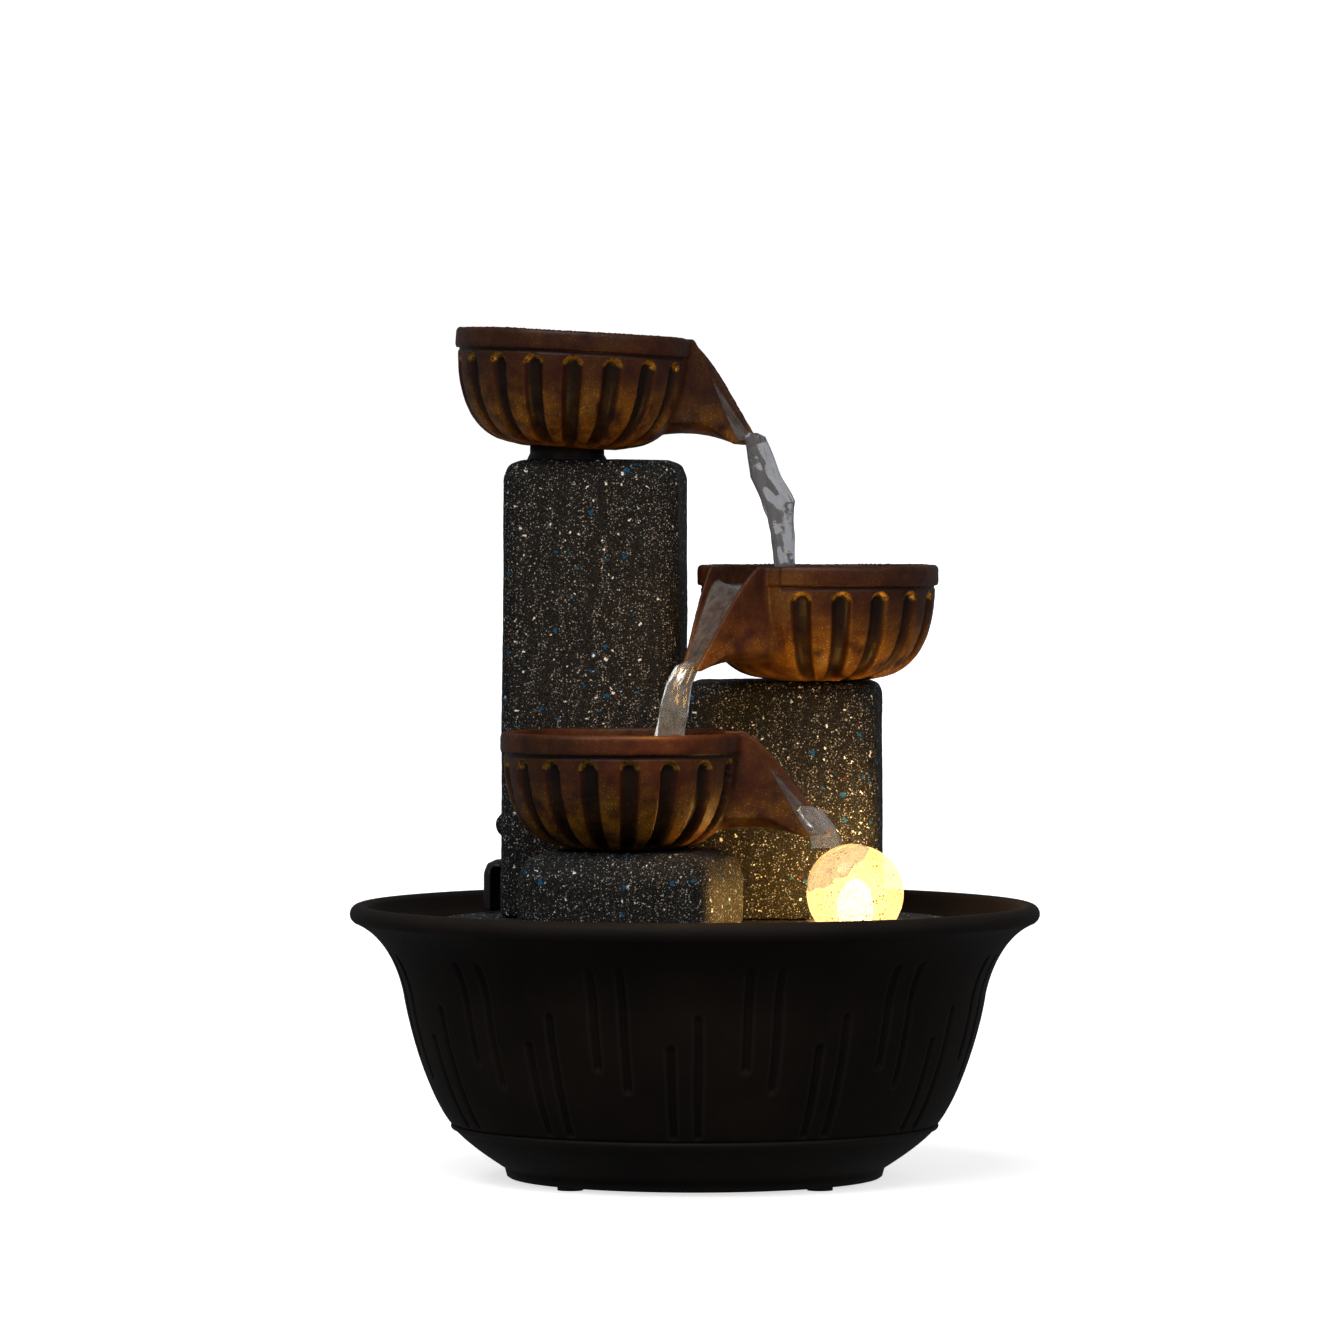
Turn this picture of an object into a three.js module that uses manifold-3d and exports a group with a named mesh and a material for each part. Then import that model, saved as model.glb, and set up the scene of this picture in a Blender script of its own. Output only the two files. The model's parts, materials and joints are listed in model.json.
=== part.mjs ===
// Tabletop water fountain. A round flared basin holds the water. A deck on four legs stands in it and
// carries three hollow pillars, each with a spouted bowl. A submersible pump on the basin's floor lifts the
// water through a hose inside the tall pillar to the upper bowl. It falls from bowl to bowl, and last onto a
// glass ball in a lit seat.
// Millimetres, +Z up, origin at the centre of the basin's underside. The front of the fountain faces -Y.
import * as THREE from "three";
import { mergeVertices } from "three/addons/utils/BufferGeometryUtils.js";
import Module from "manifold-3d";

const wasm = await Module();
wasm.setup();

// ---------------------------------------------------------------- driving dimensions
const GAP = 0.3; // left between pieces that rest on, or slip into, each other
const PAD = { radius: 4, height: 1, ring: 54.4 };
const BASIN = {
  wall: 3,
  footRadius: 58.8,
  footInner: 50,
  footHeight: 2,
  slopeRise: 13,
  creaseRadius: 75.4,
  waistRadius: 91.1,
  waistHeight: 58.5,
  rimRadius: 108,
  rimHeight: 86.3,
  lipRadius: 3,
};
const DECK = { belowRim: 5.3, thickness: 3, edgeGap: 15.7 };
const LEG = { radius: 4, ring: 50, angles: [25, 115, 215, 285] };
const SCREW = { radius: 1.3, headRadius: 2.6, headHeight: 1.8, boss: 4.3, bossHeight: 14, bite: 10 };

const PILLAR_WALL = 3.5;
const TALL = { x: -31.1, y: 29.5, width: 55.2, depth: 45, corner: 7, edge: 5.5, turn: -5 };
const MIDDLE = { y: 21, width: 62, depth: 46, corner: 7, edge: 4, turn: -5 };
const SHORT = { x: -19.7, y: -36, width: 62, depth: 53, corner: 9, edge: 8, turn: -15 };
const PILLAR_GAP = 0.5; // between the facing sides of the tall and middle pillars
const LOBE = { radius: 4.3, length: 14, height: 28.5, proud: 2.9 };
const WINDOW = { width: 24, bottom: 3, height: 13 };

const BOWL = { radius: 37.5, depth: 36, wall: 3, bandHeight: 6, bandProud: 0.7, base: 15 };
const SPOUT = { reach: 57, drop: 32, rootHalf: 12.85, tipHalf: 8, skew: 0.56, wall: 1.8, extra: 4.7 };
const UPPER = { x: -39.3, y: 26, aim: 5, tilt: 3.1 };
const MIDDLE_BOWL_Y = 12;
const MIDDLE_AIM = -136;
const LOWER = { x: -22.2, y: -34, aim: 3 };
const BOWL_CLEAR = 2.9; // from the tall pillar's right side to the left of the middle bowl's rim
const NECK = { x: -40.2, radius: 11.7, flare: 1, height: 3 };

const BALL = { x: 49.4, y: -34, z: 91.3, radius: 15 };
const FALL = { lower: 2.5, middle: 18.8, upper: 40.4 }; // free drop from each spout's tip to what it lands on
const SEAT = { wall: 1.5, flange: 3.6, flangeHeight: 1.6, ballClear: 0.4 };
const LIGHT = { wall: 2, depth: 22, flange: 5.3, flangeHeight: 2.4, lens: 1.6, ballClear: 1.3, board: 1.6 };
const LED = { radius: 1.8, height: 2.4, ring: 4.2 };

// push is the play of what is pushed into the hose's bore
const HOSE = { radius: 5, bore: 3.5, sides: 8, push: 0.15 };
const GROMMET_WALL = 2;
const OUTLET = { bore: 2.2, stem: 12, head: 8, headHeight: 2 };
const PUMP = { x: -27, y: 12, width: 44, depth: 34, height: 32, corner: 4, wall: 3 };
const CUP = { radius: 5.5, height: 3.7, stem: 3 };
const ROTOR = { magnet: 8.6, length: 21, impeller: 10.4, disc: 1.6, blade: 4.4, shaft: 1.2, clear: 0.7 };
const COVER_PLATE = { thickness: 3, radius: 15 };
const NOZZLE = { rise: 12, offset: 7 };
const DIAL = { radius: 9, thickness: 2, stem: 2, hole: 2.4, ring: 5.4 };
const GLAND = { radius: 4, length: 5, bore: 1.8 };
const LEAD_RADIUS = 1.5;
const LEAD_SIDES = 8;
const HOOD = {
  left: -67,
  right: -3,
  front: 36,
  height: 16.5,
  wall: 2.4,
  edge: 4,
  corner: 6,
  inset: 1.5,
  clear: 3,
};

// ---------------------------------------------------------------- sizes that follow
const deckTop = BASIN.rimHeight - DECK.belowRim;
const deckUnder = deckTop - DECK.thickness;
const foot = deckTop + GAP;
const basinFoot = PAD.height;
const basinFloor = basinFoot + BASIN.footHeight + BASIN.wall;
const shortTop = BALL.z + BALL.radius + FALL.lower + SPOUT.drop - BOWL.depth;
const lowerRim = shortTop + BOWL.depth;
const middleTop = lowerRim + FALL.middle + SPOUT.drop - BOWL.depth;
const middleRim = middleTop + BOWL.depth;
const tallTop = middleRim + FALL.upper + SPOUT.drop - BOWL.depth - NECK.height;
const degrees = THREE.MathUtils.degToRad;
const turnOfTall = degrees(TALL.turn);
const tallRight = TALL.x + (TALL.width / 2) * Math.cos(turnOfTall) - (TALL.depth / 2) * Math.sin(turnOfTall);
const sideways = (TALL.width + MIDDLE.width) / 2 + PILLAR_GAP; // along the front faces, centre to centre
const middleX = TALL.x + sideways / Math.cos(turnOfTall) - (MIDDLE.y - TALL.y) * Math.tan(turnOfTall);
const middleBowlX = tallRight + BOWL_CLEAR + BOWL.radius;
const pushedRadius = HOSE.bore * Math.cos(Math.PI / HOSE.sides) - HOSE.push; // fits inside the bore's flats
const tiltLift = NECK.radius * Math.sin(degrees(UPPER.tilt)) + GAP;

// ---------------------------------------------------------------- materials
const finish = (color, roughness, metalness = 0, extra = {}) =>
  new THREE.MeshStandardMaterial({ color, roughness, metalness, ...extra });
const basinResin = finish(0x1b1614, 0.55);
const bowlResin = finish(0x3c2019, 0.42);
const speckledResin = finish(0x121315, 0.6);
const blackPlastic = finish(0x141517, 0.45);
const rubber = finish(0x0c0c0d, 0.85);
const hosePlastic = finish(0xc9d2d4, 0.25, 0, { transparent: true, opacity: 0.5 });
const steel = finish(0x9a9ca0, 0.3, 1);
const magnetGrey = finish(0x3a3b3e, 0.4, 0.6);
const ceramic = finish(0xe6e2d8, 0.3);
const ballGlass = finish(0xffe7a6, 0.08, 0, { transparent: true, opacity: 0.6 });
const lensPlastic = finish(0xe9e6da, 0.15, 0, { transparent: true, opacity: 0.5 });
const circuit = finish(0x1d5a34, 0.5);
const emitter = finish(0xffd978, 0.3);

// ---------------------------------------------------------------- solid helpers
// A three.js geometry as a manifold-3d solid.
function solid(geometry) {
  const bare = geometry.index ? geometry.toNonIndexed() : geometry.clone();
  bare.deleteAttribute("normal");
  bare.deleteAttribute("uv");
  const merged = mergeVertices(bare, 1e-4);
  const corners = merged.index.array;
  const kept = [];
  for (let i = 0; i < corners.length; i += 3) {
    const [a, b, c] = corners.slice(i, i + 3);
    if (a !== b && b !== c && a !== c) kept.push(a, b, c);
  }
  return new wasm.Manifold(
    new wasm.Mesh({
      numProp: 3,
      vertProperties: new Float32Array(merged.attributes.position.array),
      triVerts: new Uint32Array(kept),
    }),
  );
}

const join = (first, ...others) => others.reduce((made, other) => made.add(other), first);
const cut = (first, ...others) => others.reduce((made, other) => made.subtract(other), first);

// A solid of revolution about +Z. Each profile point is [radius, height].
function turned(profile, segments = 20) {
  const area = profile.reduce((sum, [r, z], i) => {
    const [nextR, nextZ] = profile[(i + 1) % profile.length];
    return sum + r * nextZ - nextR * z;
  }, 0);
  const ordered = area > 0 ? profile : [...profile].reverse();
  const closed = [...ordered, ordered[0]].map(([r, z]) => new THREE.Vector2(r, z));
  const made = new THREE.LatheGeometry(closed, segments).rotateX(Math.PI / 2);
  return solid(made);
}

const rod = (radius, bottom, top, segments = 16) =>
  turned([[0, bottom], [radius, bottom], [radius, top], [0, top]], segments);

const ring = (inner, outer, bottom, top, segments = 24) =>
  turned([[inner, bottom], [outer, bottom], [outer, top], [inner, top]], segments);

// A turned solid laid down, so that what pointed up points along +X.
const alongX = (made) => made.rotate([0, 90, 0]);

function box(width, depth, bottom, top) {
  const made = new THREE.BoxGeometry(width, depth, top - bottom);
  return solid(made.translate(0, 0, (bottom + top) / 2));
}

// A plan outline raised from bottom to top, with its upper edge rounded where edge is given.
function raised(shape, bottom, top, edge = 0, curveSegments = 4) {
  if (!edge) {
    const options = { depth: top - bottom, bevelEnabled: false, curveSegments };
    const plain = new THREE.ExtrudeGeometry(shape, options);
    return solid(plain.translate(0, 0, bottom));
  }
  const soft = new THREE.ExtrudeGeometry(shape, {
    depth: top - bottom,
    bevelThickness: edge,
    bevelSize: edge,
    bevelOffset: -edge,
    bevelSegments: 2,
    curveSegments,
  });
  const below = box(500, 500, bottom - 2 * edge, bottom);
  return cut(solid(soft.translate(0, 0, bottom - edge)), below);
}

function roundedRectangle(width, depth, corner) {
  const [x, y, right] = [width / 2 - corner, depth / 2 - corner, Math.PI / 2];
  const shape = new THREE.Shape();
  shape.absarc(x, y, corner, 0, right);
  shape.absarc(-x, y, corner, right, 2 * right);
  shape.absarc(-x, -y, corner, 2 * right, 3 * right);
  shape.absarc(x, -y, corner, 3 * right, 4 * right);
  return shape;
}

// A round hose or lead along a curve, hollow where a bore is given.
function alongCurve(curve, radius, bore, sides, steps) {
  const section = new THREE.Shape().absarc(0, 0, radius, 0, 2 * Math.PI);
  if (bore) section.holes.push(new THREE.Path().absarc(0, 0, bore, 0, 2 * Math.PI, true));
  const options = { steps, extrudePath: curve, curveSegments: sides / 2, bevelEnabled: false };
  return solid(new THREE.ExtrudeGeometry(section, options));
}

function around(count, radius, firstAngle = 0) {
  return Array.from({ length: count }, (_, i) => {
    const angle = degrees(firstAngle + (i * 360) / count);
    return [radius * Math.cos(angle), radius * Math.sin(angle)];
  });
}

// ---------------------------------------------------------------- the scene graph
const fountain = new THREE.Group();

function add(name, made, material, position = [0, 0, 0], parent = fountain) {
  const { vertProperties, triVerts } = made.getMesh();
  const geometry = new THREE.BufferGeometry();
  geometry.setAttribute("position", new THREE.BufferAttribute(vertProperties, 3));
  geometry.setIndex(new THREE.BufferAttribute(triVerts, 1));
  geometry.computeVertexNormals();
  const mesh = new THREE.Mesh(geometry, material);
  mesh.name = name;
  mesh.position.set(...position);
  parent.add(mesh);
  return mesh;
}

// A nested group at a place, turned about the vertical and then leaned towards its own +X.
function placed(position, turn = 0, tilt = 0) {
  const group = new THREE.Group();
  group.position.set(...position);
  group.rotation.set(0, degrees(tilt), degrees(turn), "ZYX");
  fountain.add(group);
  return group;
}

// ---------------------------------------------------------------- basin
const v2 = (x, y) => new THREE.Vector2(x, y);
const slopeFoot = v2(BASIN.footRadius + 0.7, basinFoot + BASIN.footHeight + 1);
const crease = v2(BASIN.creaseRadius, slopeFoot.y + BASIN.slopeRise);
const waist = v2(BASIN.waistRadius, BASIN.waistHeight);
const rise = waist.y - crease.y;
const belly = new THREE.CubicBezierCurve(
  crease,
  v2(crease.x + 6.8, crease.y + 0.17 * rise),
  v2(waist.x - 1.9, waist.y - 0.31 * rise),
  waist,
);
const lipCentre = v2(BASIN.rimRadius - BASIN.lipRadius, BASIN.rimHeight - BASIN.lipRadius);
const flare = new THREE.CubicBezierCurve(
  waist,
  v2(waist.x + 1.7, waist.y + 8.5),
  v2(lipCentre.x - 7.5, lipCentre.y - 6.5),
  v2(lipCentre.x + 1.4, lipCentre.y - BASIN.lipRadius + 0.3),
);

// Points along a curve, moved inwards by the wall.
const inside = (curve, steps) =>
  curve.getPoints(steps).map((point, i) => {
    const along = curve.getTangent(i / steps);
    return [point.x - BASIN.wall * along.y, point.y + BASIN.wall * along.x];
  });

const outside = (curve, steps) => curve.getPoints(steps).map((point) => [point.x, point.y]);

// The basin's inside radius at a height on its flare.
function insideRadius(height) {
  return inside(flare, 60).find(([, z]) => z >= height)[0];
}

function basin() {
  const lip = [-20, 35, 90, 145].map((angle) => [
    lipCentre.x + BASIN.lipRadius * Math.cos(degrees(angle)),
    lipCentre.y + BASIN.lipRadius * Math.sin(degrees(angle)),
  ]);
  const flareInside = inside(flare, 5).slice(1, -1);
  return turned(
    [
      [0, basinFloor - BASIN.wall],
      [BASIN.footInner, basinFloor - BASIN.wall],
      [BASIN.footInner, basinFoot],
      [BASIN.footRadius, basinFoot],
      [slopeFoot.x, slopeFoot.y],
      [crease.x - 0.3, crease.y - 1.1],
      [crease.x + 0.6, crease.y - 0.4],
      ...outside(belly, 5),
      ...outside(flare, 5).slice(1),
      ...lip,
      ...flareInside.reverse(),
      ...inside(belly, 4).slice(1).reverse(),
      [crease.x - 2.4, crease.y + 2.6],
      [BASIN.footRadius - 1.3, basinFloor],
      [0, basinFloor],
    ],
    48,
  );
}

add("basin", basin(), basinResin);
around(4, PAD.ring, 45).forEach(([x, y], i) => {
  add(`foot_pad_${i + 1}`, rod(PAD.radius, 0, PAD.height), rubber, [x, y, 0]);
});

// ---------------------------------------------------------------- deck, legs and screws
const deckRadius = insideRadius(deckUnder) - DECK.edgeGap;
const seatSpigot = Math.sqrt(BALL.radius ** 2 - (BALL.z - deckTop) ** 2) + SEAT.ballClear + SEAT.wall;
const lightRadius = seatSpigot + GAP;
const lightScrews = around(3, lightRadius + LIGHT.flange / 2, 30).map(([x, y]) => [BALL.x + x, BALL.y + y]);

// The opposite corners of a pillar's foot, where its two screws go.
function screwPlaces({ width, depth }) {
  const [x, y] = [width / 2 - PILLAR_WALL - SCREW.boss + 1, depth / 2 - PILLAR_WALL - SCREW.boss + 1];
  return [
    [-x, y],
    [x, -y],
  ];
}

const PILLARS = {
  tall: { ...TALL, top: tallTop },
  middle: { ...MIDDLE, x: middleX, top: middleTop },
  short: { ...SHORT, top: shortTop },
};

function onDeck({ x, y, turn }, [dx, dy]) {
  const moved = v2(dx, dy).rotateAround(v2(0, 0), degrees(turn));
  return [x + moved.x, y + moved.y];
}

const pillarScrews = Object.values(PILLARS).flatMap((pillar) =>
  screwPlaces(pillar).map((place) => onDeck(pillar, place)),
);

function deck() {
  const drill = (x, y, radius, segments = 12) =>
    rod(radius, deckUnder - 1, deckTop + 1, segments).translate([x, y, 0]);
  const blind = ([x, y]) => rod(SCREW.radius + GAP, deckUnder - 1, deckTop - 0.6, 10).translate([x, y, 0]);
  return cut(
    rod(deckRadius, deckUnder, deckTop, 48),
    drill(NECK.x, UPPER.y, HOSE.radius + 1, 16),
    drill(BALL.x, BALL.y, seatSpigot + GAP, 24),
    ...pillarScrews.map(([x, y]) => drill(x, y, SCREW.radius + GAP, 10)),
    ...lightScrews.map(blind),
  );
}

add("deck", deck(), speckledResin);
LEG.angles.forEach((angle, i) => {
  const [[x, y]] = around(1, LEG.ring, angle);
  add(`deck_leg_${i + 1}`, rod(LEG.radius, basinFloor + GAP, deckUnder, 12), blackPlastic, [x, y, 0]);
});

function screw(under, tip) {
  return turned(
    [
      [0, under - SCREW.headHeight],
      [SCREW.headRadius, under - SCREW.headHeight],
      [SCREW.headRadius, under],
      [SCREW.radius, under],
      [SCREW.radius, tip],
      [0, tip],
    ],
    8,
  );
}

pillarScrews.forEach(([x, y], i) => {
  add(`pillar_screw_${i + 1}`, screw(deckUnder - GAP, foot + SCREW.bite), steel, [x, y, 0]);
});

// ---------------------------------------------------------------- pillars
// A casting open below, in its own axes, standing on z = 0.
function pillar(size) {
  const { width, depth, corner, edge, top } = size;
  const height = top - foot;
  const hollow = roundedRectangle(width - 2 * PILLAR_WALL, depth - 2 * PILLAR_WALL, corner - PILLAR_WALL);
  const bosses = screwPlaces(size).map(([x, y]) =>
    rod(SCREW.boss, 0, SCREW.bossHeight, 12).translate([x, y, 0]),
  );
  const holes = screwPlaces(size).map(([x, y]) =>
    rod(SCREW.radius + GAP, -1, SCREW.bite + 1, 10).translate([x, y, 0]),
  );
  const outer = raised(roundedRectangle(width, depth, corner), 0, height, edge);
  const shell = cut(outer, raised(hollow, -1, height - PILLAR_WALL));
  return cut(join(shell, ...bosses), ...holes);
}

function tallPillar() {
  const size = PILLARS.tall;
  const height = size.top - foot;
  const neck = v2(NECK.x - size.x, UPPER.y - size.y).rotateAround(v2(0, 0), -degrees(size.turn));
  const neckHole = rod(HOSE.radius + 1, height - 2 * PILLAR_WALL, height + 1).translate([neck.x, neck.y, 0]);
  const window = box(WINDOW.width, 3 * PILLAR_WALL, WINDOW.bottom, WINDOW.bottom + WINDOW.height);
  const side = LOBE.radius - size.width / 2;
  const lobe = rod(LOBE.radius, -LOBE.length / 2, LOBE.length / 2, 16)
    .rotate([90, 0, 0])
    .translate([side - LOBE.proud, 0, LOBE.height]);
  const lobeInside = box(2 * LOBE.radius, 2 * LOBE.length, LOBE.height - 9, LOBE.height + 9)
    .translate([side + PILLAR_WALL, 0, 0]);
  const lobed = join(pillar(size), cut(lobe, lobeInside));
  return cut(lobed, neckHole, window.translate([0, size.depth / 2, 0]));
}

const standing = (size) => placed([size.x, size.y, foot], size.turn);
add("tall_pillar", tallPillar(), speckledResin, [0, 0, 0], standing(PILLARS.tall));
add("middle_pillar", pillar(PILLARS.middle), speckledResin, [0, 0, 0], standing(PILLARS.middle));
add("short_pillar", pillar(PILLARS.short), speckledResin, [0, 0, 0], standing(PILLARS.short));

// A hood wrapped round the back of the tall pillar's foot, round behind like the deck's edge.
function hood() {
  const { left, right, front, height, wall, edge, inset, clear } = HOOD;
  const tall = PILLARS.tall;
  const outline = (shrink, radius, top, soft) => {
    const [x0, x1] = [left + shrink, right - shrink];
    const block = raised(roundedRectangle(x1 - x0, 120, HOOD.corner), 0, top, soft);
    return rod(radius, -1, top + 1, 48).intersect(block.translate([(x0 + x1) / 2, front + 60, 0]));
  };
  const outer = outline(0, deckRadius - inset, height, edge);
  const space = outline(wall, deckRadius - inset - wall, height - wall, 0);
  const ahead = box(300, 200, -2, height + 2).translate([0, front - 100, 0]);
  const opening = box(right - left - 2 * wall, 2 * edge, -2, height - wall)
    .translate([(left + right) / 2, front, 0]);
  const aroundTall = roundedRectangle(tall.width + 2 * clear, tall.depth + 2 * GAP, tall.corner);
  const footprint = raised(aroundTall, -2, height + 2)
    .rotate([0, 0, tall.turn])
    .translate([tall.x, tall.y, 0]);
  return cut(outer, space, ahead, opening, footprint);
}

add("rear_cover", hood(), blackPlastic, [0, 0, foot]);

// ---------------------------------------------------------------- bowls
// The curved part of a bowl's outside, from its base to the band, as [radius, height].
function bowlSide(inset, rise) {
  const [low, side] = [BOWL.base + 5, BOWL.radius - BOWL.bandProud];
  const curve = new THREE.CubicBezierCurve(
    v2(low, 1),
    v2(low + 9, 2.5),
    v2(side, 0.3 * BOWL.depth),
    v2(side, BOWL.depth - BOWL.bandHeight),
  );
  return curve.getPoints(5).map((point) => [point.x - inset, point.y + rise]);
}

// A spout's side outline widened into a solid. It narrows to its tip, and one side reaches further than
// the other.
function spoutSolid(outline, extra, rootHalf, tipHalf) {
  const shape = new THREE.Shape(outline.map(([u, z]) => v2(u, z)));
  const geometry = new THREE.ExtrudeGeometry(shape, { depth: 2, bevelEnabled: false });
  geometry.translate(0, 0, -1).rotateX(Math.PI / 2);
  const place = geometry.attributes.position;
  for (let i = 0; i < place.count; i += 1) {
    const u = place.getX(i);
    const share = Math.max(0, (u - BOWL.radius + BOWL.wall) / (SPOUT.reach - BOWL.radius + BOWL.wall));
    const v = place.getY(i) * THREE.MathUtils.lerp(rootHalf, tipHalf, Math.min(share, 1));
    place.setXYZ(i, u + share * (extra + SPOUT.skew * v), v, BOWL.depth + place.getZ(i));
  }
  return solid(geometry);
}

// A bowl in its own axes, standing on z = 0, with its spout towards +X.
function bowl(extra, riserHole = 0) {
  const [r, drop, reach] = [BOWL.radius, SPOUT.drop, SPOUT.reach];
  const body = turned(
    [
      [0, 0],
      [BOWL.base, 0],
      ...bowlSide(0, 0),
      [r, BOWL.depth - BOWL.bandHeight],
      [r, BOWL.depth],
      [0, BOWL.depth],
    ],
    24,
  );
  const brow = new THREE.CubicBezierCurve(
    v2(r - 0.5, 0),
    v2(r + 6.5, -0.2 * drop),
    v2(reach - 8, -0.62 * drop),
    v2(reach, -drop),
  );
  const outer = [
    [r - 12, 0],
    ...brow.getPoints(5).map((point) => [point.x, point.y]),
    [reach - 4, -drop],
    [reach - 12.5, -drop + 3],
    [r - 0.5, -drop + 4.5],
    [r - 12, -drop + 2],
  ];
  const channel = [
    [r - 7, 2],
    [r - 7, -7],
    [r - 4.5, -7],
    [r + 1.5, -9.5],
    [r + 7, -16.5],
    [r + 12, -24],
    [reach - 2, -drop + 2],
    [reach + 1, -drop - 8],
    [reach + 15, -drop - 8],
    [reach + 15, 2],
  ];
  const { rootHalf, tipHalf, wall } = SPOUT;
  const cavity = turned(
    [
      [0, BOWL.wall + 0.4],
      [BOWL.base - 1, BOWL.wall + 0.4],
      ...bowlSide(BOWL.wall, BOWL.wall),
      [r - BOWL.bandProud - BOWL.wall, BOWL.depth + 1],
      [0, BOWL.depth + 1],
    ],
    24,
  );
  const whole = join(body, spoutSolid(outer, extra, rootHalf, tipHalf));
  const hollow = cut(whole, cavity, spoutSolid(channel, extra, rootHalf - wall, tipHalf - wall));
  if (!riserHole) return hollow;
  return cut(hollow, rod(riserHole, -1, BOWL.wall + 2).translate([NECK.x - UPPER.x, 0, 0]));
}

const upperRest = [UPPER.x, UPPER.y, tallTop + NECK.height + tiltLift];
const upperSeat = placed(upperRest, UPPER.aim, UPPER.tilt);
const grommetOuter = HOSE.radius + GAP + GROMMET_WALL;
add("upper_bowl", bowl(0, grommetOuter + GAP), bowlResin, [0, 0, 0], upperSeat);
const middleSeat = placed([middleBowlX, MIDDLE_BOWL_Y, middleTop + GAP], MIDDLE_AIM);
add("middle_bowl", bowl(0), bowlResin, [0, 0, 0], middleSeat);
const lowerSeat = placed([LOWER.x, LOWER.y, shortTop + GAP], LOWER.aim);
add("lower_bowl", bowl(SPOUT.extra), bowlResin, [0, 0, 0], lowerSeat);

const grommet = ring(HOSE.radius + GAP, grommetOuter, 0, BOWL.wall + 0.4);
add("bowl_grommet", grommet, rubber, [NECK.x - UPPER.x, 0, 0], upperSeat);
const collar = turned([
  [HOSE.radius + 1, 0],
  [NECK.radius + NECK.flare, 0],
  [NECK.radius, NECK.flare],
  [NECK.radius, NECK.height],
  [HOSE.radius + 1, NECK.height],
]);
add("neck_collar", collar, blackPlastic, [NECK.x, UPPER.y, tallTop]);

// ---------------------------------------------------------------- pump
const pumpFoot = basinFloor + GAP + CUP.height;
const pumpTop = pumpFoot + PUMP.height;
const axisHeight = pumpFoot + PUMP.height / 2;
const pumpFront = PUMP.x - PUMP.width / 2;
const chamber = { radius: ROTOR.impeller + 1.6, depth: ROTOR.disc + ROTOR.blade + 2.4 };
const magnetStart = pumpFront + chamber.depth;
const boreEnd = magnetStart + ROTOR.length + 1.2;
const bush = { radius: 2.8, length: 3 };
const nozzle = { x: pumpFront + chamber.depth / 2, y: PUMP.y + NOZZLE.offset, radius: pushedRadius };

function pumpBody() {
  const block = raised(roundedRectangle(PUMP.width, PUMP.depth, PUMP.corner), pumpFoot, pumpTop, 2);
  const spigot = rod(nozzle.radius, pumpTop - 1, pumpTop + NOZZLE.rise).translate([nozzle.x, nozzle.y, 0]);
  const outlet = rod(OUTLET.bore, axisHeight, pumpTop + NOZZLE.rise + 1, 12).translate([nozzle.x, nozzle.y, 0]);
  const bored = (radius, from, to, segments) =>
    alongX(rod(radius, from, to, segments)).translate([0, PUMP.y, axisHeight]);
  return cut(
    join(block.translate([PUMP.x, PUMP.y, 0]), spigot),
    outlet,
    bored(chamber.radius, pumpFront - 1, pumpFront + chamber.depth, 24),
    bored(ROTOR.magnet + ROTOR.clear, pumpFront, boreEnd, 20),
    bored(bush.radius + GAP, boreEnd - 1, boreEnd + bush.length + GAP, 12),
  );
}

add("pump_body", pumpBody(), blackPlastic);
const onAxis = (x) => [x, PUMP.y, axisHeight];

// The plate over the impeller. A ring of holes lets the water in, and a socket holds the shaft's front end.
const plateBack = -GAP - 1;
function pumpCover() {
  const plate = rod(COVER_PLATE.radius, plateBack - COVER_PLATE.thickness, plateBack, 24);
  const slots = around(6, DIAL.ring, 15).map(([x, y]) =>
    rod(DIAL.hole, plateBack - COVER_PLATE.thickness - 1, plateBack + 1, 10).translate([x, y, 0]),
  );
  const socket = rod(1.7, plateBack - 2, plateBack + 1, 10);
  return cut(plate, ...slots, socket);
}

add("pump_cover", alongX(pumpCover()), blackPlastic, onAxis(pumpFront));
const sealRing = ring(chamber.radius + 0.5, chamber.radius + 2.3, plateBack + 0.1, -0.1, 24);
add("pump_o_ring", alongX(sealRing), rubber, onAxis(pumpFront));

const bushRing = ring(ROTOR.shaft + 0.1, bush.radius, 0, bush.length, 12);
add("shaft_bush_rear", alongX(bushRing), rubber, onAxis(boreEnd));
const shaftEnd = boreEnd + bush.length - 0.2;
add("rotor_shaft", alongX(rod(ROTOR.shaft, pumpFront + plateBack - 1.8, shaftEnd, 10)), ceramic, onAxis(0));

const magnet = ring(ROTOR.shaft + GAP, ROTOR.magnet, 0, ROTOR.length, 20);
add("rotor_magnet", alongX(magnet), magnetGrey, onAxis(magnetStart));

function impeller() {
  const disc = ring(ROTOR.shaft + GAP, ROTOR.impeller, ROTOR.blade, ROTOR.blade + ROTOR.disc, 20);
  const hub = ring(ROTOR.shaft + GAP, 3, 0, ROTOR.blade + 0.5, 20);
  const blades = [0, 60, 120, 180, 240, 300].map((angle) =>
    box(ROTOR.impeller - 3.4, 1.4, 0, ROTOR.blade + 0.5)
      .translate([(ROTOR.impeller + 2) / 2, 0, 0])
      .rotate([0, 0, angle]),
  );
  return join(disc, hub, ...blades);
}

const impellerStart = magnetStart - 2 * GAP - ROTOR.blade - ROTOR.disc;
add("impeller", alongX(impeller()), blackPlastic, onAxis(impellerStart));

// A dial on the plate's face. Its holes line up with the plate's, and turning it closes them.
function flowDial() {
  const dial = rod(DIAL.radius, 0, DIAL.thickness, 20);
  const holes = around(6, DIAL.ring, 15).map(([x, y]) =>
    rod(DIAL.hole, -1, DIAL.thickness + 1, 10).translate([x, y, 0]),
  );
  const lug = box(2.4, 5, 0, DIAL.thickness).translate([DIAL.radius + 0.6, 0, 0]);
  return cut(join(dial, lug), ...holes);
}

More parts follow.
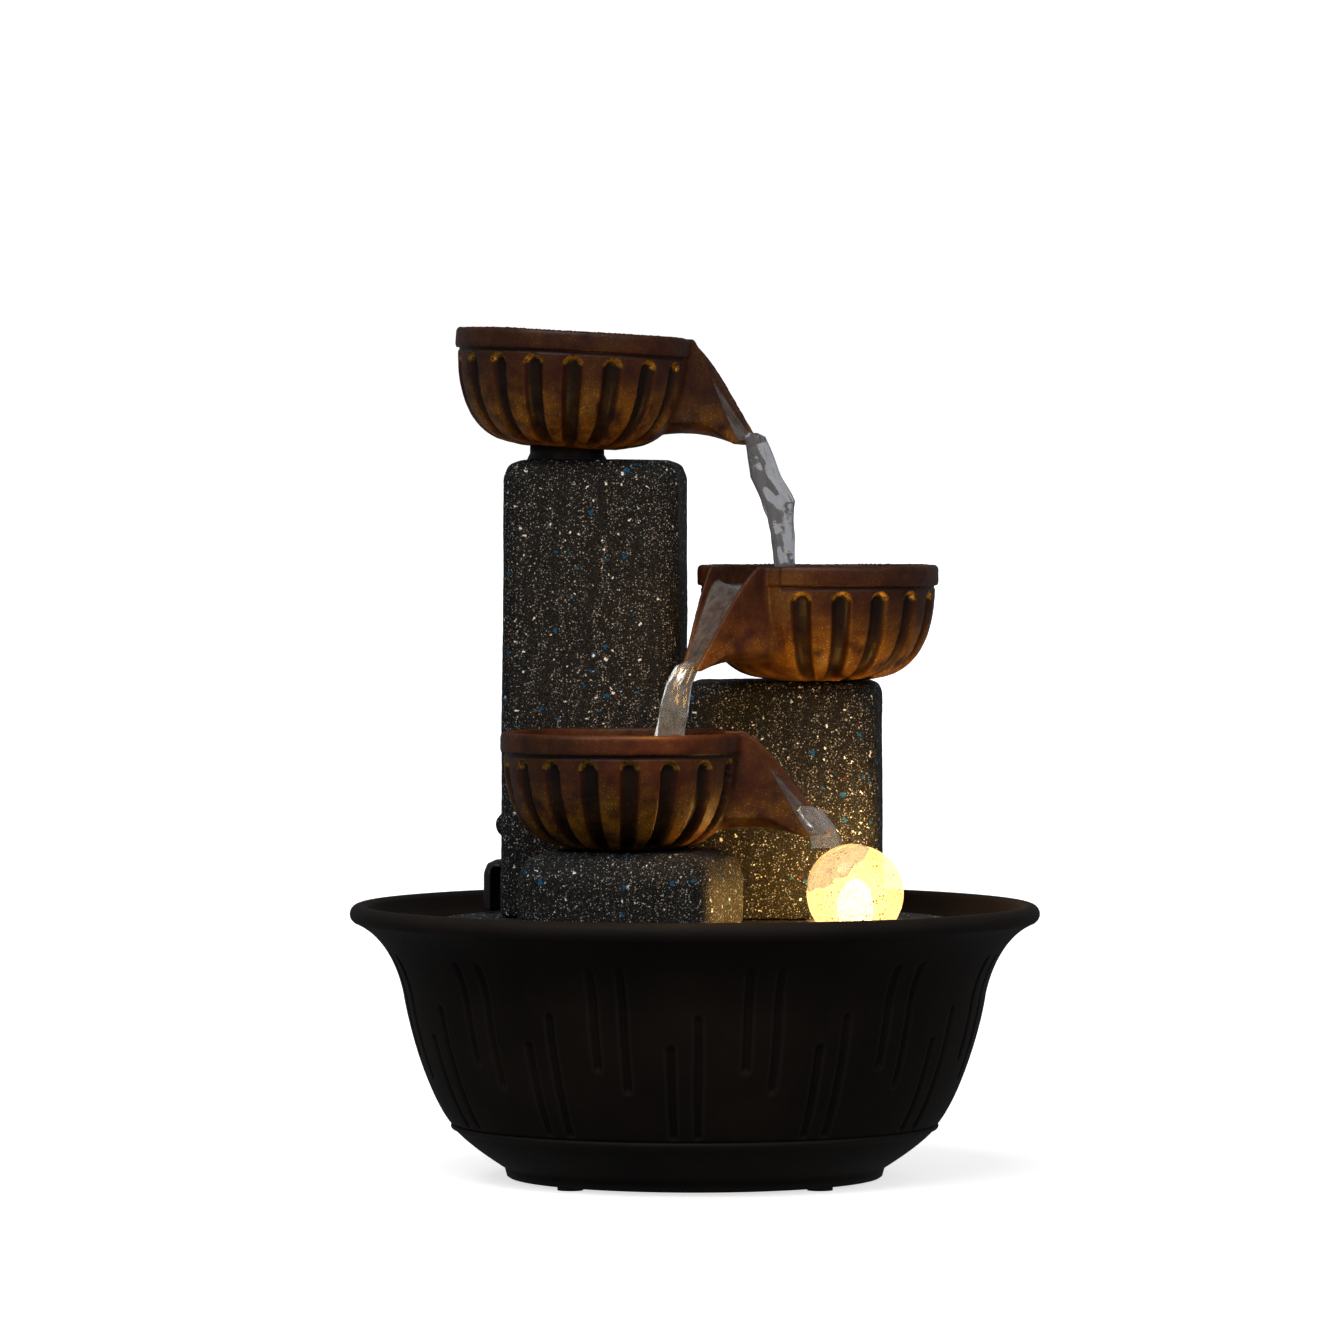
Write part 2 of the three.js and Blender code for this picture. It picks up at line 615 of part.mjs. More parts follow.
const dialPlace = pumpFront + plateBack - COVER_PLATE.thickness - GAP - DIAL.thickness;
add("flow_dial", alongX(flowDial()), blackPlastic, onAxis(dialPlace));

const cup = turned(
  [
    [0, 0],
    [CUP.radius, 0],
    [CUP.radius, 0.8],
    [CUP.stem, 2.2],
    [CUP.stem, CUP.height],
    [0, CUP.height],
  ],
  12,
);
[[-1, -1], [1, -1], [-1, 1], [1, 1]].forEach(([sx, sy], i) => {
  const x = PUMP.x + sx * (PUMP.width / 2 - CUP.radius - 1);
  const y = PUMP.y + sy * (PUMP.depth / 2 - CUP.radius - 1);
  add(`suction_foot_${i + 1}`, cup, rubber, [x, y, basinFloor + GAP]);
});

const gland = ring(GLAND.bore, GLAND.radius, 0, GLAND.length, 12);
add("pump_gland", alongX(gland), rubber, [PUMP.x + PUMP.width / 2 + GAP, PUMP.y, axisHeight]);

// ---------------------------------------------------------------- riser
const neckTurn = degrees(UPPER.tilt);
const hoseEnd = upperRest[2] + BOWL.wall + 3 - (NECK.x - UPPER.x) * Math.sin(neckTurn);

function riserCurve() {
  const [x, y] = [nozzle.x, nozzle.y];
  const bendStart = pumpTop + NOZZLE.rise + 1;
  const bendEnd = deckUnder - 2;
  const third = (bendEnd - bendStart) / 2;
  const path = new THREE.CurvePath();
  const point = (px, py, pz) => new THREE.Vector3(px, py, pz);
  path.add(new THREE.LineCurve3(point(x, y, pumpTop + 1), point(x, y, bendStart)));
  path.add(
    new THREE.CubicBezierCurve3(
      point(x, y, bendStart),
      point(x, y, bendStart + third),
      point(NECK.x, UPPER.y, bendEnd - third),
      point(NECK.x, UPPER.y, bendEnd),
    ),
  );
  path.add(new THREE.LineCurve3(point(NECK.x, UPPER.y, bendEnd), point(NECK.x, UPPER.y, hoseEnd)));
  return path;
}

add("riser_hose", alongCurve(riserCurve(), HOSE.radius, HOSE.bore, HOSE.sides, 28), hosePlastic);
const outlet = turned(
  [
    [OUTLET.bore, -OUTLET.stem],
    [pushedRadius, -OUTLET.stem],
    [pushedRadius, GAP],
    [OUTLET.head, GAP],
    [OUTLET.head, GAP + OUTLET.headHeight],
    [OUTLET.bore, GAP + OUTLET.headHeight],
  ],
  16,
);
add("riser_outlet", outlet, blackPlastic, [NECK.x, UPPER.y, hoseEnd]);

// ---------------------------------------------------------------- ball, seat and light
const ballShape = new THREE.SphereGeometry(BALL.radius, 16, 10);
add("ball", solid(ballShape), ballGlass, [BALL.x, BALL.y, BALL.z]);

const ballRadiusAt = (height) => Math.sqrt(BALL.radius ** 2 - (BALL.z - height) ** 2);
const seatTop = foot + SEAT.flangeHeight;
const seat = turned(
  [
    [ballRadiusAt(deckTop) + SEAT.ballClear, deckUnder + GAP],
    [seatSpigot, deckUnder + GAP],
    [seatSpigot, foot],
    [seatSpigot + SEAT.flange, foot],
    [seatSpigot + SEAT.flange - 1, seatTop],
    [ballRadiusAt(seatTop) + SEAT.ballClear, seatTop],
    [ballRadiusAt(foot) + SEAT.ballClear, foot],
  ],
  28,
);
const underBall = ([x, y] = [0, 0]) => [BALL.x + x, BALL.y + y, 0];
add("ball_seat", seat, blackPlastic, underBall());

const lensTop = BALL.z - BALL.radius - LIGHT.ballClear;
const lensFoot = lensTop - LIGHT.lens;
const lightTop = deckUnder - GAP;
const lightFoot = lightTop - LIGHT.depth;
const lensRadius = lightRadius - LIGHT.wall;
const boardFoot = lightFoot + 0.4 * LIGHT.depth;
const boardRadius = lensRadius - 2.6;

const housing = turned(
  [
    [0, lightFoot],
    [lightRadius, lightFoot],
    [lightRadius, lightTop - LIGHT.flangeHeight],
    [lightRadius + LIGHT.flange, lightTop - LIGHT.flangeHeight],
    [lightRadius + LIGHT.flange, lightTop],
    [lensRadius, lightTop],
    [lensRadius, lensFoot - GAP],
    [lensRadius - 2, lensFoot - GAP],
    [lensRadius - 2, boardFoot - GAP],
    [lensRadius - 4, boardFoot - GAP],
    [lensRadius - 4, lightFoot + LIGHT.wall],
    [0, lightFoot + LIGHT.wall],
  ],
  28,
);
const screwHoles = lightScrews.map(([x, y]) =>
  rod(SCREW.radius + GAP, lightTop - 4, lightTop + 1, 10).translate([x - BALL.x, y - BALL.y, 0]),
);
const leadTurn = 135;
const leadHeight = boardFoot - 4;
const leadHole = alongX(rod(LEAD_RADIUS + GAP, lightRadius - 9, lightRadius + 2, 10))
  .translate([0, 0, leadHeight])
  .rotate([0, 0, leadTurn]);
add("led_housing", cut(housing, ...screwHoles, leadHole), blackPlastic, underBall());
add("led_lens", rod(lensRadius - GAP, lensFoot, lensTop, 28), lensPlastic, underBall());
add("led_board", rod(boardRadius, boardFoot, boardFoot + LIGHT.board, 20), circuit, underBall());
around(3, LED.ring, 90).forEach((place, i) => {
  const face = boardFoot + LIGHT.board;
  add(`led_${i + 1}`, rod(LED.radius, face, face + LED.height, 10), emitter, underBall(place));
});
lightScrews.forEach(([x, y], i) => {
  const under = lightTop - LIGHT.flangeHeight - GAP;
  add(`led_screw_${i + 1}`, screw(under, deckTop - 1), steel, [x, y, 0]);
});

// ---------------------------------------------------------------- lead from the light to the pump
const leadWay = v2(1, 0).rotateAround(v2(0, 0), degrees(leadTurn));
const fromLight = (distance, height) =>
  new THREE.Vector3(BALL.x + distance * leadWay.x, BALL.y + distance * leadWay.y, height);
const clipDistance = lightRadius + 31;
const clipHeight = deckUnder - 3.6;
const plug = new THREE.Vector3(PUMP.x + 17, PUMP.y, pumpTop + GAP);
const leadRoute = [
  fromLight(lightRadius + GAP, leadHeight),
  fromLight(lightRadius + 5, leadHeight),
  fromLight(lightRadius + 12, leadHeight + 4),
  fromLight(clipDistance - 11, clipHeight - 0.5),
  fromLight(clipDistance - 4, clipHeight),
  fromLight(clipDistance + 4, clipHeight),
  fromLight(clipDistance + 12, clipHeight - 3),
  plug.clone().add(new THREE.Vector3(3, -1, 18)),
  plug.clone().add(new THREE.Vector3(0, 0, 7)),
  plug,
];
const leadCurve = new THREE.CatmullRomCurve3(leadRoute, false, "centripetal");
add("led_lead", alongCurve(leadCurve, LEAD_RADIUS, 0, LEAD_SIDES, 30), rubber);

const clipBlock = cut(
  box(5, 8, -3, deckUnder - clipHeight),
  alongX(rod(LEAD_RADIUS + GAP + 0.2, -4, 4, 12)),
);
const clipPoint = fromLight(clipDistance, clipHeight);
const clipSeat = placed([clipPoint.x, clipPoint.y, clipPoint.z], leadTurn);
add("lead_clip", clipBlock, blackPlastic, [0, 0, 0], clipSeat);

export default fountain;
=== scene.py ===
import json
import math

import bmesh
import bpy
from mathutils import Euler, Matrix, Vector, noise


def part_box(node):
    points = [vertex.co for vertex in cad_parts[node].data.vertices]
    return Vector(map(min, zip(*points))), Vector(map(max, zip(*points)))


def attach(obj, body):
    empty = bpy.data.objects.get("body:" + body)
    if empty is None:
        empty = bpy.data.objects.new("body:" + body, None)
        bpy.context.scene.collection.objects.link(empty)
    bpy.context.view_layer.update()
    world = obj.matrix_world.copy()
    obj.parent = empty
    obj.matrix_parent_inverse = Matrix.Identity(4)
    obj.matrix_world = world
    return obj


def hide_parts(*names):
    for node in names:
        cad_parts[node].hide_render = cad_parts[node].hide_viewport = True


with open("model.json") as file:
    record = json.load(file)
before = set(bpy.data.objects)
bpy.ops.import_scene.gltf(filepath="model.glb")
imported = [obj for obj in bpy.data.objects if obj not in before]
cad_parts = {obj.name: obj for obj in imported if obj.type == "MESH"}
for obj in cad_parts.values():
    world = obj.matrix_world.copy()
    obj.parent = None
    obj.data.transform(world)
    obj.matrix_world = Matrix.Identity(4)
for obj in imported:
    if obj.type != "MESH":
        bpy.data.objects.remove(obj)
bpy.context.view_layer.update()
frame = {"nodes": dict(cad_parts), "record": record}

MM = 0.001
scene = bpy.context.scene


# ------------------------------------------------------------------ sizes, in millimetres
def box_mm(node):
    low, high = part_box(node)
    return low / MM, high / MM


BASIN_HIGH = box_mm("basin")[1]
BALL_LOW, BALL_HIGH = box_mm("ball")
COLLAR_LOW, COLLAR_HIGH = box_mm("neck_collar")
RIM_RADIUS = BASIN_HIGH.x
RIM_TOP = BASIN_HIGH.z
DECK_TOP = box_mm("deck")[1].z
BALL_CENTRE = (BALL_LOW + BALL_HIGH) / 2
BALL_RADIUS = (BALL_HIGH.z - BALL_LOW.z) / 2
BOWL_RADIUS = 37.5
BOWL_DEPTH = 36.0
BOWL_WALL = 3.0
WATER_LEVEL = 70.0  # in the basin
WEIR_DROP = 6.0  # from a bowl's rim down to its water


# ------------------------------------------------------------------ material helpers
class Paint:
    """A material's node tree, with short calls to add and join nodes."""

    def __init__(self, name, **sockets):
        self.material = bpy.data.materials.new(name)
        self.material.use_nodes = True
        self.tree = self.material.node_tree
        self.shader = self.tree.nodes["Principled BSDF"]
        for key, value in sockets.items():
            self.shader.inputs[key.replace("_", " ")].default_value = value

    def node(self, kind, inputs=None, **settings):
        made = self.tree.nodes.new("ShaderNode" + kind)
        for key, value in settings.items():
            setattr(made, key, value)
        for key, value in (inputs or {}).items():
            if isinstance(value, bpy.types.NodeSocket):
                self.tree.links.new(value, made.inputs[key])
            else:
                made.inputs[key].default_value = value
        return made

    def place(self, scale=1.0, stretch=(1, 1, 1)):
        """Object coordinates in millimetres, times scale."""
        size = [scale / MM * s for s in stretch]
        coords = self.node("TexCoord").outputs["Object"]
        return self.node("Mapping", {"Vector": coords, "Scale": size}).outputs["Vector"]

    def noise(self, at, scale, detail=3.0, roughness=0.5):
        sockets = {"Vector": at, "Scale": scale, "Detail": detail, "Roughness": roughness}
        return self.node("TexNoise", sockets).outputs["Fac"]

    def ramp(self, value, low, high, to_low=0.0, to_high=1.0):
        sockets = {"Value": value, "From Min": low, "From Max": high, "To Min": to_low, "To Max": to_high}
        return self.node("MapRange", sockets).outputs["Result"]

    def maths(self, operation, a, b=0.0):
        return self.node("Math", {0: a, 1: b}, operation=operation).outputs[0]

    def mix(self, share, first, second):
        made = self.node("Mix", data_type="RGBA")
        for index, value in ((0, share), (6, first), (7, second)):
            if isinstance(value, bpy.types.NodeSocket):
                self.tree.links.new(value, made.inputs[index])
            else:
                made.inputs[index].default_value = value
        return made.outputs[2]

    def dots(self, at, scale, smallest, largest, share=1.0):
        """A mask of round dots: radii from smallest to largest cells, in that share of the cells."""
        cells = self.node("TexVoronoi", {"Vector": at, "Scale": scale})
        apart = self.node("SeparateColor", {"Color": cells.outputs["Color"]}).outputs
        radius = self.ramp(apart["Red"], 0.0, 1.0, smallest, largest)
        inside = self.maths("SUBTRACT", radius, cells.outputs["Distance"])
        soft = self.ramp(inside, 0.0, 0.25 * smallest)
        chosen = self.maths("LESS_THAN", apart["Green"], share)
        return self.maths("MULTIPLY", soft, chosen)

    def set(self, socket, value):
        self.tree.links.new(value, self.shader.inputs[socket])

    def bump(self, height, strength, distance_mm):
        sockets = {"Height": height, "Strength": strength, "Distance": distance_mm * MM}
        self.set("Normal", self.node("Bump", sockets).outputs["Normal"])
        return self.material


def rgb(red, green, blue):
    return (red, green, blue, 1.0)


# ------------------------------------------------------------------ materials
def speckled_resin():
    """Black stone-like casting: grey grain and sand, pale dots, a few blue spots and fewer red ones."""
    paint = Paint("speckled_resin", Roughness=0.62, Specular_IOR_Level=0.08)
    at = paint.place()
    wobble = paint.node("TexNoise", {"Vector": at, "Scale": 0.9, "Detail": 2.0}).outputs["Color"]
    shifted = paint.node("VectorMath", {0: wobble, 1: (0.5, 0.5, 0.5)}, operation="SUBTRACT").outputs[0]
    shifted = paint.node("VectorMath", {0: shifted, "Scale": 2.4}, operation="SCALE").outputs[0]
    bent = paint.node("VectorMath", {0: at, 1: shifted}, operation="ADD").outputs[0]
    grain = paint.noise(at, 1.9, 4.0, 0.65)
    sand = paint.noise(at, 3.4, 2.0, 0.7)
    cloud = paint.noise(at, 0.05, 3.0)
    colour = paint.mix(paint.ramp(grain, 0.42, 0.75), rgb(0.0022, 0.0024, 0.0027), rgb(0.014, 0.014, 0.015))
    colour = paint.mix(paint.ramp(cloud, 0.35, 0.7, 0.0, 0.45), colour, rgb(0.002, 0.0024, 0.003))
    colour = paint.mix(paint.ramp(sand, 0.52, 0.70), colour, rgb(0.085, 0.082, 0.075))
    for where, cells, smallest, largest, share, tint in (
        (at, 1.75, 0.16, 0.40, 0.40, (0.25, 0.24, 0.22)),
        (at, 1.15, 0.08, 0.26, 0.60, (0.42, 0.41, 0.38)),
        (bent, 0.19, 0.05, 0.17, 0.55, (0.006, 0.085, 0.20)),
        (bent, 0.37, 0.05, 0.15, 0.35, (0.010, 0.085, 0.17)),
        (bent, 0.21, 0.04, 0.10, 0.25, (0.16, 0.03, 0.015)),
        (at, 0.72, 0.05, 0.20, 0.60, (0.50, 0.49, 0.46)),
        (bent, 0.36, 0.06, 0.20, 0.70, (0.90, 0.88, 0.82)),
    ):
        colour = paint.mix(paint.dots(where, cells, smallest, largest, share), colour, rgb(*tint))
    paint.set("Base Color", colour)
    paint.set("Roughness", paint.ramp(grain, 0.3, 0.8, 0.72, 0.48))
    return paint.bump(grain, 0.55, 0.35)


def basin_resin():
    """Dark brown-black casting with a fine sandy grain, and a painted grey highlight where it stands proud.
    """
    paint = Paint("basin_resin", Roughness=0.58, Specular_IOR_Level=0.08)
    at = paint.place()
    grain = paint.noise(at, 1.4, 4.0, 0.6)
    cloud = paint.noise(at, 0.035, 4.0, 0.6)
    darker, lighter = rgb(0.0072, 0.0049, 0.0036), rgb(0.0125, 0.0086, 0.0062)
    colour = paint.mix(paint.ramp(cloud, 0.35, 0.7), darker, lighter)
    colour = paint.mix(paint.ramp(grain, 0.55, 0.8, 0.0, 0.35), colour, rgb(0.017, 0.013, 0.011))
    # painted highlight: greyer on the convex edges and the lip, where light catches them
    edge = paint.node("NewGeometry").outputs["Pointiness"]
    colour = paint.mix(paint.ramp(edge, 0.505, 0.54, 0.0, 0.35), colour, rgb(0.030, 0.027, 0.026))
    paint.set("Base Color", colour)
    paint.set("Roughness", paint.ramp(grain, 0.3, 0.8, 0.66, 0.50))
    return paint.bump(grain, 0.30, 0.25)


def bowl_resin():
    """Reddish-brown casting, with gold dust on its ridges lower down that is partly a painted warm glow from
    below, painted shade inside the flutes, and a painted highlight along their tops.
    """
    paint = Paint("bowl_resin", Roughness=0.42, Specular_IOR_Level=0.22)
    at = paint.place()
    grain = paint.noise(at, 1.1, 4.0, 0.6)
    cloud = paint.noise(at, 0.07, 3.0)
    flute = paint.node("Attribute", attribute_name="flute").outputs["Fac"]
    low = paint.node("Attribute", attribute_name="low").outputs["Fac"]
    flute_top_glint = paint.node("Attribute", attribute_name="flute_top_glint").outputs["Fac"]
    colour = paint.mix(paint.ramp(cloud, 0.35, 0.7), rgb(0.026, 0.0062, 0.0034), rgb(0.048, 0.0112, 0.0058))
    colour = paint.mix(paint.ramp(grain, 0.3, 0.5, 0.5, 0.0), colour, rgb(0.010, 0.0040, 0.0025))
    # painted shade: darker inside the flutes and in the groove under the band, where shade falls
    colour = paint.mix(paint.ramp(flute, 0.35, 0.95, 0.0, 0.9), colour, rgb(0.0050, 0.0028, 0.0020))
    # gold dust on the ridges lower down, partly real dust and partly a painted warm glow from the ball below
    ridge = paint.ramp(flute, 0.0, 0.5, 1.0, 0.12)
    low_ridge_dust_and_glow = paint.maths("MULTIPLY", ridge, paint.ramp(low, 0.1, 0.7, 0.12, 1.0))
    patch = paint.ramp(paint.noise(at, 0.16, 3.0), 0.32, 0.62)
    gold_dust_and_glow = paint.maths("MULTIPLY", low_ridge_dust_and_glow, patch)
    colour = paint.mix(paint.maths("MULTIPLY", gold_dust_and_glow, 0.60), colour, rgb(0.34, 0.145, 0.008))
    flakes = paint.maths("MULTIPLY", paint.dots(at, 1.7, 0.12, 0.34, 0.6), gold_dust_and_glow)
    # painted highlight along each flute's rounded top, broken up by the grain
    grainy_top_glint = paint.maths("MULTIPLY", flute_top_glint, paint.ramp(grain, 0.35, 0.55))
    shine = paint.maths("MAXIMUM", flakes, grainy_top_glint)
    colour = paint.mix(shine, colour, rgb(0.70, 0.40, 0.06))
    paint.set("Base Color", colour)
    paint.set("Metallic", paint.maths("MULTIPLY", shine, 0.7))
    paint.set("Roughness", paint.ramp(grain, 0.3, 0.8, 0.50, 0.32))
    return paint.bump(grain, 0.35, 0.30)


def moulded_plastic(name="black_plastic", base=(0.010, 0.010, 0.011), roughness=0.45):
    paint = Paint(name, Roughness=roughness, Specular_IOR_Level=0.3)
    at = paint.place()
    grain = paint.noise(at, 2.4, 3.0)
    lighter = rgb(*[1.7 * c for c in base])
    paint.set("Base Color", paint.mix(paint.ramp(grain, 0.35, 0.7), rgb(*base), lighter))
    paint.set("Roughness", paint.ramp(grain, 0.3, 0.7, roughness - 0.06, roughness + 0.08))
    return paint.bump(grain, 0.2, 0.08)


def rubber():
    return moulded_plastic("rubber", (0.008, 0.008, 0.008), 0.8)


def brushed_steel():
    paint = Paint("steel", Metallic=1.0, Roughness=0.32)
    at = paint.place(1.0, (1, 1, 9))
    lines = paint.noise(at, 1.5, 4.0)
    paint.set("Base Color", paint.mix(lines, rgb(0.40, 0.41, 0.42), rgb(0.62, 0.62, 0.63)))
    paint.set("Roughness", paint.ramp(lines, 0.3, 0.7, 0.22, 0.42))
    return paint.bump(lines, 0.15, 0.05)


def ferrite():
    return moulded_plastic("magnet", (0.035, 0.035, 0.037), 0.35)


def ceramic():
    return moulded_plastic("ceramic", (0.45, 0.44, 0.41), 0.18)


def circuit_board():
    paint = Paint("circuit", Roughness=0.4)
    at = paint.place()
    tracks = paint.node("TexWave", {"Vector": at, "Scale": 0.5, "Distortion": 2.0}).outputs["Fac"]
    board, copper = rgb(0.01, 0.09, 0.03), rgb(0.03, 0.17, 0.07)
    paint.set("Base Color", paint.mix(paint.ramp(tracks, 0.8, 0.9), board, copper))
    return paint.bump(tracks, 0.3, 0.05)


def clear_plastic(name, colour, roughness):
    paint = Paint(name, Roughness=roughness, Transmission_Weight=0.85, IOR=1.45)
    at = paint.place()
    haze = paint.noise(at, 0.8, 3.0)
    paint.set("Base Color", paint.mix(haze, rgb(*colour), rgb(*[0.85 * c for c in colour])))
    return paint.bump(haze, 0.15, 0.1)


def warm_emitter():
    paint = Paint("emitter", Roughness=0.3, Emission_Strength=6.0)
    at = paint.place()
    dome = paint.noise(at, 1.0, 1.0)
    paint.set("Base Color", paint.mix(dome, rgb(0.9, 0.7, 0.3), rgb(1.0, 0.8, 0.4)))
    paint.set("Emission Color", paint.mix(dome, rgb(1.0, 0.72, 0.3), rgb(1.0, 0.82, 0.45)))
    return paint.bump(dome, 0.1, 0.05)


def crackle_glass():
    """Golden glass full of glitter and fine cracks, half clear, so that the glow inside shows through."""
    paint = Paint("ball_glass", Roughness=0.15, Specular_IOR_Level=0.5, Emission_Strength=0.80)
    coords = paint.node("TexCoord").outputs["Object"]
    at = paint.place()
    up = paint.node("SeparateXYZ", {"Vector": coords}).outputs["Z"]
    height = paint.ramp(up, BALL_LOW.z * MM, BALL_HIGH.z * MM)
    to_crack = paint.node("TexVoronoi", {"Vector": at, "Scale": 0.42}, feature="DISTANCE_TO_EDGE")
    cells = to_crack.outputs["Distance"]
    cracks = paint.ramp(cells, 0.0, 0.09, 1.0, 0.0)
    patch = paint.ramp(paint.noise(at, 0.15, 2.0), 0.38, 0.58)
    gold = paint.mix(paint.ramp(height, 0.2, 0.9), rgb(1.0, 0.82, 0.42), rgb(1.0, 0.74, 0.32))
    brown = paint.maths("MULTIPLY", paint.dots(at, 0.95, 0.18, 0.42, 0.8), patch)
    glow = paint.mix(brown, gold, rgb(0.30, 0.13, 0.01))
    bright = paint.dots(at, 1.2, 0.12, 0.34, 0.4)
    glow = paint.mix(bright, glow, rgb(1.0, 0.97, 0.84))
    paint.set("Base Color", paint.mix(brown, rgb(0.30, 0.22, 0.10), rgb(0.06, 0.03, 0.01)))
    paint.set("Emission Color", glow)
    flecks = paint.maths("MAXIMUM", bright, paint.maths("MULTIPLY", cracks, 0.6))
    flecks = paint.maths("MAXIMUM", brown, flecks)
    paint.set("Alpha", paint.ramp(flecks, 0.0, 1.0, 0.52, 0.95))
    return paint.bump(paint.maths("ADD", cells, cracks), 0.2, 0.2)


def ball_light():
    """The glow gathered inside the ball, broken up by glitter."""
    paint = Paint("ball_light", Roughness=0.5, Emission_Strength=1.35)
    paint.shader.inputs["Base Color"].default_value = rgb(0.8, 0.7, 0.5)
    at = paint.place()
    veil = paint.noise(at, 0.9, 3.0, 0.6)
    amber, white = rgb(1.0, 0.86, 0.55), rgb(1.0, 0.97, 0.88)
    paint.set("Emission Color", paint.mix(paint.ramp(veil, 0.35, 0.65), amber, white))
    paint.set("Alpha", paint.ramp(veil, 0.36, 0.52, 0.35, 1.0))
    return paint.bump(veil, 0.2, 0.2)


def clear_water(name, body, clearness):
    paint = Paint(name, Roughness=0.05, IOR=1.33, Specular_IOR_Level=0.6)
    at = paint.place()
    ripples = paint.noise(at, 0.35, 3.0)
    pale = rgb(*[min(1.0, 1.15 * c) for c in body])
    paint.set("Base Color", paint.mix(ripples, rgb(*body), pale))
    paint.set("Transmission Weight", paint.ramp(ripples, 0.3, 0.7, clearness, clearness - 0.08))
    return paint.bump(ripples, 0.3, 0.5)


MATERIALS = {
    "basin_resin": basin_resin(),
    "bowl_resin": bowl_resin(),
    "speckled_resin": speckled_resin(),
    "black_plastic": moulded_plastic(),
    "rubber": rubber(),
    "hose": clear_plastic("hose", (0.72, 0.78, 0.80), 0.25),
    "steel": brushed_steel(),
    "magnet": ferrite(),
    "ceramic": ceramic(),
    "ball_glass": crackle_glass(),
    "lens": clear_plastic("lens", (0.95, 0.93, 0.88), 0.12),
    "circuit": circuit_board(),
    "emitter": warm_emitter(),
    "water": clear_water("water", (0.80, 0.82, 0.84), 0.96),
    "falling_water": clear_water("falling_water", (0.30, 0.31, 0.33), 0.72),
    "ball_light": ball_light(),
}


# ------------------------------------------------------------------ mesh helpers
def make_object(name, mesh):
    made = bpy.data.objects.new(name, mesh)
    scene.collection.objects.link(made)
    return made


def piece(name, mesh, material, body, replaces=()):
    """A finished piece of the object, smooth-shaded, riding on its body."""
    mesh.name = name
    mesh.materials.clear()
    mesh.materials.append(MATERIALS[material])
    mesh.shade_smooth()
    made = make_object(name, mesh)
    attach(made, body)
    if replaces:
        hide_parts(*replaces)
    return made


def applied(made, **modifiers):
    """The object's mesh with the given modifiers applied; the object itself is thrown away."""
    for kind, settings in modifiers.items():
        modifier = made.modifiers.new(kind, kind)
        for key, value in settings.items():
            setattr(modifier, key, value)
    bpy.context.view_layer.update()
    graph = bpy.context.evaluated_depsgraph_get()
    mesh = bpy.data.meshes.new_from_object(made.evaluated_get(graph), depsgraph=graph)
    bpy.data.objects.remove(made)
    return mesh


def grid_mesh(name, rows, close_across=True, close_along=False, caps=False):
    """A mesh through rows of points, in millimetres. Each row closes on itself if close_across is true."""
    count = len(rows[0])
    verts = [Vector(p) * MM for row in rows for p in row]
    faces = []
    for i in range(len(rows) if close_along else len(rows) - 1):
        a, b = i * count, (i + 1) % len(rows) * count
        for j in range(count if close_across else count - 1):
            k = (j + 1) % count
            faces.append((a + j, a + k, b + k, b + j))
    if caps:
        faces.append(tuple(reversed(range(count))))
        faces.append(tuple(range((len(rows) - 1) * count, len(rows) * count)))
    mesh = bpy.data.meshes.new(name)
    mesh.from_pydata(verts, [], faces)
    mesh.update()
    outward = bmesh.new()
    outward.from_mesh(mesh)
    bmesh.ops.remove_doubles(outward, verts=outward.verts, dist=0.00001 * MM)
    bmesh.ops.recalc_face_normals(outward, faces=outward.faces)
    if outward.calc_volume(signed=True) < 0:
        bmesh.ops.reverse_faces(outward, faces=outward.faces)
    outward.to_mesh(mesh)
    outward.free()
    return mesh


def bezier(a, b, c, d, steps):
    """Points on a cubic curve through 2-D or 3-D control points, ends included."""
    a, b, c, d = (Vector(p) for p in (a, b, c, d))
    made = []
    for i in range(steps + 1):
        t = i / steps
        s = 1 - t
        made.append(a * s**3 + b * (3 * s * s * t) + c * (3 * s * t * t) + d * t**3)
    return made


def arc(centre, radius, first, last, steps):
    """Points round a centre from the first angle to the last, in degrees, ends included."""
    made = []
    for i in range(steps + 1):
        angle = math.radians(first + (last - first) * i / steps)
        made.append(Vector((centre[0] + radius * math.cos(angle), centre[1] + radius * math.sin(angle))))
    return made


def clamp01(value):
    return max(0.0, min(1.0, value))


def smooth01(value):
    value = clamp01(value)
    return value * value * (3 - 2 * value)


# ------------------------------------------------------------------ basin
WALL = 3.0
CREASE = (75.4, 17.0)
WAIST = (91.1, 58.5)
LIP_RADIUS = 3.0
LIP_CENTRE = (RIM_RADIUS - LIP_RADIUS + 0.1, RIM_TOP - LIP_RADIUS)
GROOVE = {"half_width": 1.4, "depth": 1.35, "pitch": 30.0}
GROOVES_END = 74.0  # no groove is looked for above this height
# each line's bearing within a repeat, in degrees from the front, and its bottom and top heights
GROOVE_LINES = ((10.1, 39.6, 72.0), (15.9, 33.0, 72.0), (-4.9, 18.5, 48.4), (0.5, 18.5, 57.5))
FOOT_RING = ((50.0, 3.0), (50.0, 1.6), (50.4, 1.0), (58.2, 1.0), (58.8, 1.4), (59.4, 3.6))
SLOPE = ((59.5, 4.0), (65.2, 7.6), (70.9, 11.6), (74.9, 15.8))
FLOOR = ((72.0, 18.4), (65.0, 12.2), (59.0, 7.2), (56.5, 6.1), (40.0, 6.0))
BEAD_RADIUS = 0.9
UNDERSIDE = 3.0
FLOOR_TOP = 6.0
UNEVEN = 0.12


def belly_curve(steps):
    rise = WAIST[1] - CREASE[1]
    first = (CREASE[0] + 6.8, CREASE[1] + 0.17 * rise)
    second = (WAIST[0] - 1.9, WAIST[1] - 0.31 * rise)
    return bezier(CREASE, first, second, WAIST, steps)


